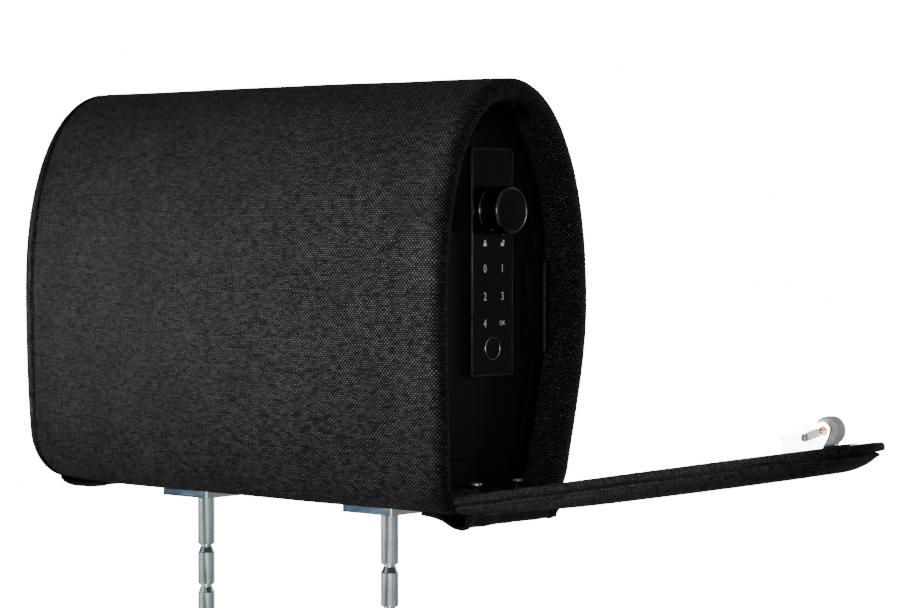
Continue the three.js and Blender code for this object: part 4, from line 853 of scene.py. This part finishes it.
# strips under the two ends
hingeStrip = dict(
    midY=14, width=78, thick=0.9, lift=5.5, wrinkle=0.5, hem=0.5, corner=7, looseEnd="last", droop=1.3,
    fall=((-34.8, 0), (-21.8, 0.7), (-12, 4.0), (-7.5, 5.7), (-4.2, 4.9)), reach=((-2.2, 5.5), (1.4, 5.4), (4.4, 5.2)))
endStrip = dict(
    midY=16.5, width=76, thick=0.9, lift=5.5, wrinkle=0.4, hem=0.5, corner=4, looseEnd="first", droop=0,
    fall=((-3.2, -4.4), (0.2, -0.8), (5, 1.2), (13, 2.3), (24, 2.3), (34, 1.4), (38, -0.1)))
stripCloth = dict(columns=40, hemShare=0.06, droopReach=7, slackCurve=0.7, creaseX=14, creaseY=11, crease=0.3)


def smoothLine(points, count):
    # an even line through points, eased like cloth
    line = []
    spans = len(points) - 1
    for i in range(count + 1):
        t = spans * i / count
        k = min(int(t), spans - 1)
        u = t - k
        p0, p1, p2, p3 = points[max(k - 1, 0)], points[k], points[k + 1], points[min(k + 2, spans)]
        leave, arrive = (p2 - p0) * 0.5, (p3 - p1) * 0.5
        line.append(p1 * (2 * u ** 3 - 3 * u ** 2 + 1) + leave * (u ** 3 - 2 * u ** 2 + u)
                    + p2 * (3 * u ** 2 - 2 * u ** 3) + arrive * (u ** 3 - u ** 2))
    return line


def ribbon(name, line, look):
    # a band of cloth with a folded hem on each long edge
    cloth, columns, width, corner = stripCloth, stripCloth["columns"], look["width"], look["corner"]
    bm = bmesh.new()
    clothLayer = bm.loops.layers.uv.new("clothMap")
    last = len(line) - 1
    run = [0]
    for a, b in zip(line, line[1:]):
        run.append(run[-1] + (b - a).length)

    def spotAt(i, j):
        # the loose end's corners are rounded
        inside = max(corner - min(j, columns - j) * width / columns, 0)
        cut = corner - sqrt(corner ** 2 - inside ** 2)
        want = run[i] * (1 - cut / run[-1]) if look["looseEnd"] == "last" else run[i] + cut * (1 - run[i] / run[-1])
        k = min(max(bisect_right(run, want) - 1, 0), last - 1)
        return line[k].lerp(line[k + 1], (want - run[k]) / (run[k + 1] - run[k]))

    layers = []
    for side in (1, -1):
        layers.append([])
        for i, p in enumerate(line):
            ahead = line[min(i + 1, last)] - line[max(i - 1, 0)]
            up = Vector((-ahead.y, ahead.x)).normalized()
            slack = sin(pi * (i / last)) ** cloth["slackCurve"]
            row = []
            for j in range(columns + 1):
                y = look["midY"] + width * (j / columns - 0.5)
                hem = look["hem"] if min(j, columns - j) / columns < cloth["hemShare"] else 0
                sag = look["droop"] * exp(-width * j / columns / cloth["droopReach"])
                crease = noise.noise(Vector((p.x / cloth["creaseX"], y / cloth["creaseY"], 3))) - cloth["crease"]
                drop = slack * (look["wrinkle"] * crease - sag)
                q = spotAt(i, j) + up * (side * (look["thick"] + hem) / 2 + drop - hem / 2)
                row.append(bm.verts.new(Vector((q.x, y, q.y)) * mm))
            layers[-1].append(row)

    def quad(*spots):
        face = bm.faces.new([layers[layer][i][j] for layer, i, j in spots])
        for loop, (layer, i, j) in zip(face.loops, spots):
            loop[clothLayer].uv = (run[i] * mm, j * width / columns * mm)

    for layer in (0, 1):
        for i in range(last):
            for j in range(columns):
                quad((layer, i, j), (layer, i, j + 1), (layer, i + 1, j + 1), (layer, i + 1, j))
    for i in range(last):
        for j in (0, columns):
            quad((0, i, j), (0, i + 1, j), (1, i + 1, j), (1, i, j))
    for j in range(columns):
        for i in (0, last):
            quad((0, i, j), (0, i, j + 1), (1, i, j + 1), (1, i, j))
    return meshObject(name, bm, 60), run[-1]


def onOpenFlap(out, along):
    angle = radians(hinge["openDegrees"])
    return Vector((hinge["x"] + out * cos(angle) + along * sin(angle),
                   hinge["z"] - out * sin(angle) + along * cos(angle)))


def makeStrips():
    look = hingeStrip
    points = [Vector((hinge["x"] + way, look["lift"] - drop)) for way, drop in look["fall"]]
    points += [onOpenFlap(out, along) for along, out in look["reach"]]
    strip, length = ribbon("hingeStrip", smoothLine(points, 48), look)
    place(strip, None, "strip_fabric", "hinge_strip")
    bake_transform(strip)
    look = endStrip
    points = [Vector((mouth["leftX"] + way, look["lift"] - drop)) for way, drop in look["fall"]]
    strip, length = ribbon("endStrip", smoothLine(points, 24), look)
    place(strip, "headrest", "strip_fabric", "end_strip")


makeStrips()
print("strips made")

# posts
postLook = dict(xs=(-74.5, 74.5), radius=5, length=168, top=5.7, tip=1.6, notchTop=27.8, pitch=23.9, count=5,
                depth=1.8, shoulder=0.9, neck=1.1, ramp=3.0, edge=0.35, plateEdge=0.5)


def makePosts():
    look = postLook
    r, root, e, tip, end = look["radius"], look["radius"] - look["depth"], look["edge"], look["tip"], -look["length"]
    profile = [(0, look["top"]), (r - e, look["top"]), (r, look["top"] - e)]
    for i in range(look["count"]):
        z = -look["notchTop"] - i * look["pitch"]
        neckZ = z - look["shoulder"]
        rampZ = neckZ - look["neck"]
        barZ = rampZ - look["ramp"]
        profile += [(r, z + e), (r - e * 0.4, z), (root + e, neckZ), (root, neckZ - e), (root, rampZ + e),
                    (root + e, rampZ), (r - e, barZ), (r, barZ - e)]
    profile += [(r, end + tip), (r - tip * 0.6, end + tip * 0.4), (r - tip, end), (0, end)]
    for side, x in zip(("left", "right"), look["xs"]):
        post = turned(f"post_{side}_bar", profile, 72, "Z", (x, 0, 0), 28)
        place(post, "headrest", "zinc", f"post_{side}")
        plate = refined(f"post_{side}_plate", f"post_bracket_{side}", look["plateEdge"])
        place(plate, "headrest", "zinc", f"post_bracket_{side}", material=plateZincPaintedShadeAndHighlight)


makePosts()
print("posts made")

# catch at the flap's tip
catchCentre = (141.5, 18.6, 219.64)
rollerLook = dict(radius=7.2, half=4, bore=2.2, hub=1.2, edge=0.9, crown=0.12)
axleLook = dict(radius=1.9, half=7.1, headRadius=2.3, headHeight=0.5, headEdge=0.25, dimple=1.0, dimpleDepth=0.15)
bracketLook = dict(bevel=0.35, edgeShadeFrom=2.2, edgeTone=(0.012, 0.01, 0.009))
springLook = dict(radius=2.2, wire=0.38, turns=7, stepsPerTurn=24, start=-23.4, end=-10.85, slope=9.5, pressed=0.4)


def roundedRim(radius, half, edge, steps=6):
    # outer wall of a turned part with both rims rounded, from its low face to its high face
    turns = [pi / 2 * i / steps for i in range(steps + 1)]
    low = [(radius - edge + edge * sin(a), -half + edge - edge * cos(a)) for a in turns]
    return low + [(r, -h) for r, h in reversed(low)]


def makeCatch():
    look, half, hub = rollerLook, rollerLook["half"], rollerLook["bore"] + rollerLook["hub"]
    rim = roundedRim(look["radius"] - look["crown"], half, look["edge"])
    crowned = rim[:7] + [(look["radius"], 0)] + rim[7:]
    profile = [(look["bore"], -half), (hub, -half), *crowned, (hub, half), (look["bore"], half)]
    roller = turned("rollerWheel", profile, 96, "Y", catchCentre)
    roller.data.transform(openFlap)
    place(roller, "roller", "grey_plastic", "catch_roller")

    look, half, r, edge = axleLook, axleLook["half"], axleLook["headRadius"], axleLook["headEdge"]
    head, dimple = half + look["headHeight"], look["dimple"]
    side = [(0, head - edge), (dimple, head - look["dimpleDepth"]), (dimple + 0.4, head), (r - 0.3, head),
            (r, head - edge), (r, half), (look["radius"], half - 0.05)]
    axle = turned("rollerAxle", side + [(r, -h) for r, h in reversed(side)], 48, "Y", catchCentre)
    axle.data.transform(openFlap)
    place(axle, "roller_carrier", "copper", "roller_axle")

    look, slope = bracketLook, radians(springLook["slope"])
    bracket = refined("catchBracket", "catch_bracket", look["bevel"])
    up = Vector((-sin(slope), 0, cos(slope)))
    foot = min(v.co.dot(up) for v in bracket.data.vertices)
    # the bracket's edges get painted shade from a little above its foot
    edgeShaded = platedMetal("edgeShadedSheet", **sheetLook, edgeUp=up, edgeFrom=foot + look["edgeShadeFrom"] * mm,
                          edgeTone=look["edgeTone"])
    place(bracket, "flap", "bright_steel", "catch_bracket", material=edgeShaded)
    place(refined("rollerCarrier", "roller_carrier", 0.3), "roller_carrier", "grey_plastic", "roller_carrier")
    place(refined("catchBumper", "catch_bumper", 0.2), "flap", "rubber", "catch_bumper")


def makeSpring():
    look = springLook
    curve = bpy.data.curves.new("catchCoil", "CURVE")
    curve.dimensions = "3D"
    curve.bevel_depth = look["wire"] * mm
    curve.bevel_resolution = 3
    curve.use_fill_caps = True
    steps = look["turns"] * look["stepsPerTurn"]
    line = curve.splines.new("POLY")
    line.points.add(steps)
    slope = radians(look["slope"])
    way, sideways = Vector((-sin(slope), 0, cos(slope))), Vector((-cos(slope), 0, -sin(slope)))
    for i, point in enumerate(line.points):
        share = i / steps
        ease = min(1, min(share, 1 - share) * 6)
        along = look["start"] + (look["end"] - look["start"]) * (0.5 + (share - 0.5) * (0.9 + 0.1 * ease))
        angle = 2 * pi * i / look["stepsPerTurn"]
        outward = sideways * cos(angle) + Vector((0, sin(angle), 0))
        point.co = (*((Vector(catchCentre) + way * along + outward * look["radius"]) * mm), 1)
    coil = linked("catchCoil", curve)
    spring = linked("catchSpring", evaluatedMesh(coil))
    bpy.data.objects.remove(coil)
    spring.data.transform(openFlap)
    place(spring, "flap", "zinc", "catch_spring")
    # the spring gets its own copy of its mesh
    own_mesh(spring)


makeCatch()
makeSpring()
print("catch made")

# lock on the door
lock = dict(frontX=134.8, faceX=134.6, midY=18.6, knobZ=170.5, readerZ=94.3)
knobLook = dict(backX=135.1, frontX=149.5, radius=13.4, cap=11.2, edge=1.9, bore=4.3, capDepth=1.2, capGap=0.1,
                groove=((0, 1.6), (0.25, 1.9), (0.25, 2.3), (0, 2.6)), dome=(0, 0.3, 0.6, 0.85, 0.96, 1), domeDrop=0.25)
readerLook = dict(radius=6.4, ring=0.55, baseX=134.0, proud=0.35, pad=((0, 0.45), (2, 0.47), (4, 0.52), (5.4, 0.6)))


def makeKnob():
    look, r, cap, e, bore = knobLook, knobLook["radius"], knobLook["cap"], knobLook["edge"], knobLook["bore"]
    centre = (look["backX"], lock["midY"], lock["knobZ"])
    height = look["frontX"] - look["backX"]
    floor = height - look["capDepth"]
    profile = [(bore, 0), (r - 0.5, 0), (r, 0.5), *((r - d, h) for d, h in look["groove"])]
    profile += arcProfile(r - e, height - e, e, 0, 90, 6)
    profile += [(cap + 0.25, height), (cap, height - 0.25), (cap, floor), (bore, floor)]
    place(turned("knobBody", profile, 120, "X", centre, 30), "knob", "black_satin", "knob")
    cap -= look["capGap"]
    dome = [(cap * s, height - 0.15 - look["domeDrop"] * s ** 3) for s in look["dome"]]
    face = turned("knobFace", dome + [(cap, floor + look["capGap"]), (0, floor + look["capGap"])], 96, "X", centre, 30)
    place(face, "knob", "black_gloss", "knob_cap")
    place(refined("knobGrubScrew", "knob_grub_screw", 0.15), "knob", "zinc", "knob_grub_screw")


def makeReader():
    look, r, inner = readerLook, readerLook["radius"], readerLook["radius"] - readerLook["ring"]
    centre = (look["baseX"], lock["midY"], lock["readerZ"])
    top = lock["frontX"] + look["proud"] - look["baseX"]
    profile = [(inner, 0), (r, 0), (r, top - 0.15), (r - 0.15, top), (inner + 0.2, top), (inner, top - 0.2)]
    ring = turned("readerRing", profile, 96, "X", centre, 30)
    place(ring, "door", "zinc", "fingerprint_ring", material=readerSteel)
    pad = turned("readerPad", [*look["pad"], (look["pad"][-1][0], 0), (0, 0)], 64, "X", centre, 30)
    place(pad, "door", "black_gloss", "fingerprint_sensor")


keyLook = dict(rows=((138.6, "0", "1"), (123.2, "2", "3"), (108.3, "4", "OK")), half=7.3, shiftY=1.2, height=4.5,
               wordHeight=2.7, narrow=0.82, thin=-0.00006, proud=0.05, gap=0.02, plateEdge=1.1, glassEdge=0.12)
iconLook = dict(z=152.6, width=2.4, height=1.8, bow=0.62, wall=0.42, shift=0.9, lift=0.9, foot=0.1, openFoot=0.6,
                thick=0.1)


def makeKey(word, height, y, z):
    look = keyLook
    curve = bpy.data.curves.new("key_" + word, "FONT")
    curve.body = word
    curve.size = height / 0.7 * mm
    curve.align_x = "CENTER"
    curve.extrude = look["proud"] * mm
    curve.offset = look["thin"]
    curve.resolution_u = 6
    flat = linked("flatWord", curve)
    mesh = evaluatedMesh(flat)
    bpy.data.objects.remove(flat)
    mesh.transform(Matrix.Diagonal((look["narrow"], 1, 1, 1)))
    mesh.transform(Matrix(((0, 0, 1, 0), (1, 0, 0, 0), (0, 1, 0, 0), (0, 0, 0, 1))))
    mesh.transform(Matrix.Translation(Vector((lock["faceX"] + look["proud"] + look["gap"], y, z - height / 2)) * mm))
    place(linked("key_" + word, mesh), "door", "black_gloss", material=printWhite)


def makePadlock(name, y, shift, farFoot):
    # a small padlock: a body with a shackle, shifted sideways when open
    look, w, h, wall = iconLook, iconLook["width"] / 2, iconLook["height"], iconLook["wall"]
    bm = bmesh.new()
    r, x, z = w * look["bow"], lock["faceX"] + keyLook["gap"], look["z"]
    outer, inner = [arcProfile(shift, look["lift"], radius, 0, 180, 12) for radius in (r, r - wall)]
    shackle = [(shift + r, look["foot"]), *outer, (shift - r, farFoot), (shift - r + wall, farFoot), *reversed(inner),
               (shift + r - wall, look["foot"])]
    for points in ([(-w, -h), (w, -h), (w, 0), (-w, 0)], shackle):
        front, rear = [[bm.verts.new(Vector((x + out, y + a, z + b)) * mm) for a, b in points]
                       for out in (look["thick"], 0)]
        bm.faces.new(front)
        bm.faces.new(list(reversed(rear)))
        for i in range(len(points)):
            k = (i + 1) % len(points)
            bm.faces.new((front[i], rear[i], rear[k], front[k]))
    bmesh.ops.triangulate(bm, faces=[f for f in bm.faces if len(f.verts) > 4])
    place(meshObject(name, bm, 20), "door", "black_gloss", material=printWhite)


def makeKeypad():
    look = keyLook
    midY = lock["midY"] + look["shiftY"]
    place(refined("lockPlate", "lock_housing", look["plateEdge"], 4), "door", "black_satin", "lock_housing")
    place(refined("keypadGlass", "keypad_face", look["glassEdge"]), "door", "black_gloss", "keypad_face")
    for z, left, right in look["rows"]:
        makeKey(left, look["height"], midY - look["half"], z)
        makeKey(right, look["height"] if len(right) == 1 else look["wordHeight"], midY + look["half"], z)
    makePadlock("icon_locked", midY - look["half"], 0, iconLook["foot"])
    makePadlock("icon_open", midY + look["half"], iconLook["shift"], iconLook["openFoot"])


makeKnob()
makeReader()
makeKeypad()
print("lock made")

# smaller hardware: node, body, slot and broken edge
for nodeName, body, slotName, bevel in (
    ("hinge_arms", "headrest", "black_steel", 0.2), ("flap_hinge_leaf", "flap", "black_steel", 0.2),
    ("catch_strike", "headrest", "black_steel", 0.25), ("door_panel", "door", "black_steel", 0.3),
    ("door_frame", "headrest", "black_steel", 0.3), ("door_hinge_leaf", "door", "black_steel", 0.25),
    ("door_hinge_bracket", "headrest", "black_steel", 0.25), ("lock_rear_cover", "door", "black_satin", 0.5),
    ("battery_cover", "door", "black_satin", 0.4), ("battery_pack", "door", "battery_wrap", 0.3),
    ("lock_cam", "knob", "zinc", 0.2), ("floor_mat", "headrest", "felt", 0.6),
):
    place(refined(nodeName + "_piece", nodeName, bevel), body, slotName, nodeName,
          material=strikeShadedBlack if nodeName == "catch_strike" else None)
print("hardware made")

# floor, light and camera
stageLook = dict(
    seenFloor=16.0, seenWall=16.0, fill=0.028, floorTone=0.9, floorBounce=0.3, floorGap=0.0005, mirrored=0.5,
    viewSide=(0.66, -0.75, 0), leftSide=(0.75, 0.66, 0),
    walls=(  # degrees round from the view's side, and how bright the panel there is
        (-180, 0.1), (-150, 0.4), (-118, 0.35), (-105, 1.4), (-62, 1.3), (-50, 0.35), (-12, 0.3), (-2, 1.6),
        (28, 1.5), (38, 0.5), (60, 0.8), (76, 0.35), (114, 0.35), (130, 0.9), (152, 0.6), (180, 0.1)),
    lamps=(  # name, place, aim, size, watts and spread in degrees
        ("keyLight", (-1.15, -2.0, 0.08), (0.11, 0, 0.125), (1.5, 0.06), 0.62, 8),
        ("broadLight", (-1.2, -2.0, -0.1), (0, 0, 0.1), (1.5, 0.5), 11.5, 180),
        ("edgeLight", (1.5, 2.2, 1.4), (0.1, 0, 0.1), (0.5, 0.8), 1.6, 180),
        ("rimLight", (1.5, -2.8, 0.4), (0.14, 0, 0.14), (0.9, 0.5), 0.12, 14),
        ("backLight", (0.2, 2.4, -0.02), (0, 0, 0.08), (1.6, 0.28), 12, 180),
        ("glintCard", (1.71, -1.82, 0.14), (0.14, 0, 0.14), (0.34, 0.22), 22, 180)),
    glossOnly=("glintCard",))


def makeStudioPanels():
    # light and dark panels all round the studio, seen only in shiny parts
    group, given, result = nodeGroup(
        "studioPanels", [("Way", "Vector", None), ("Strength", "Float", 0.5)], [("Level", "Float")])
    walls = stageLook["walls"]
    left, ahead = [alongWay(group, given["Way"], stageLook[side]) for side in ("leftSide", "viewSide")]
    turn = maths(group, "ARCTAN2", left, ahead)
    panels = group.nodes.new("ShaderNodeFloatCurve")
    curve = panels.mapping.curves[0]
    for degrees, level in walls[1:-1]:
        curve.points.new((degrees + 180) / 360, level / 2)
    for end in (0, -1):
        curve.points[end].location.y = walls[end][1] / 2
    for point in curve.points:
        point.handle_type = "VECTOR"
    panels.mapping.update()
    wireAll(group, panels.inputs, {"Value": ranged(group, turn, -pi, pi)})
    wireAll(group, result, {"Level": times(group, panels.outputs[0], times(group, given["Strength"], 2))})
    return group


def makeFloor(studioPanels):
    bm = bmesh.new()
    bmesh.ops.create_grid(bm, x_segments=1, y_segments=1, size=9)
    floor = meshObject("floor", bm, 0)
    floor.location = (0, 0, cadBounds[0][2] - stageLook["floorGap"])
    paper, tree, inputs = startMaterial("paleFloor", {
        "Roughness": 0.9, "Specular IOR Level": 0.1, "Emission Color": (1, 1, 1, 1)})
    grain = useGroup(tree, fineGrain, {"Grain Size": 0.002, "Mottle Size": 0.5})
    path = addNode(tree, "LightPath")
    tone = ranged(tree, path["Is Camera Ray"], 0.0, 1.0, stageLook["floorBounce"], stageLook["floorTone"])
    mottled = times(tree, tone, ranged(tree, grain["Mottle"], 0.0, 1.0, 0.97, 1.03))
    way = addNode(tree, "TexCoord")["Object"]
    level = useGroup(tree, studioPanels, {"Way": way, "Strength": stageLook["mirrored"]})["Level"]
    glow = maths(tree, "MULTIPLY_ADD", path["Is Camera Ray"], stageLook["seenFloor"],
                 times(tree, path["Is Glossy Ray"], level))
    wireAll(tree, inputs, {"Base Color": vectorOf(tree, mottled, mottled, mottled), "Emission Strength": glow})
    floor.data.materials.append(paper)


def makeWorld(studioPanels):
    world = bpy.data.worlds.new("studio")
    bpy.context.scene.world = world
    world.use_nodes = True
    tree = world.node_tree
    path, way = addNode(tree, "LightPath"), addNode(tree, "TexCoord")["Generated"]
    level = useGroup(tree, studioPanels, {"Way": way, "Strength": stageLook["mirrored"]})["Level"]
    seen = ranged(tree, path["Is Camera Ray"], 0.0, 1.0, stageLook["fill"], stageLook["seenWall"])
    strength = maths(tree, "ADD", times(tree, path["Is Glossy Ray"], level), seen)
    wireAll(tree, tree.nodes["Background"].inputs, ((1, 1, 1, 1), strength))


def makeLamps():
    for name, spot, aim, size, power, spreadDegrees in stageLook["lamps"]:
        lamp = bpy.data.lights.new(name, "AREA")
        lamp.shape = "RECTANGLE"
        lamp.size, lamp.size_y = size
        lamp.energy = power
        lamp.spread = radians(spreadDegrees)
        obj = linked(name, lamp)
        obj.location = spot
        obj.rotation_euler = (Vector(aim) - Vector(spot)).to_track_quat("-Z", "Y").to_euler()
        obj.visible_camera = False
        obj.visible_diffuse = name not in stageLook["glossOnly"]


cameraLook = dict(place=(1179.87, -1193.06, 170.28), turn=41.5, tiltDown=1.84, sensor=36, focalPixels=2900,
                  framePixels=912, farEnd=60)


def makeCamera():
    look = cameraLook
    data = bpy.data.cameras.new("camera")
    data.sensor_fit = "HORIZONTAL"
    data.sensor_width = look["sensor"]
    data.lens = look["sensor"] * look["focalPixels"] / look["framePixels"]
    data.clip_end = look["farEnd"]
    camera = linked("camera", data)
    camera.location = Vector(look["place"]) * mm
    camera.rotation_euler = (radians(90 - look["tiltDown"]), 0, radians(look["turn"]))
    bpy.context.scene.camera = camera


panels = makeStudioPanels()
makeFloor(panels)
makeWorld(panels)
makeLamps()
makeCamera()
print("stage, light and camera set")
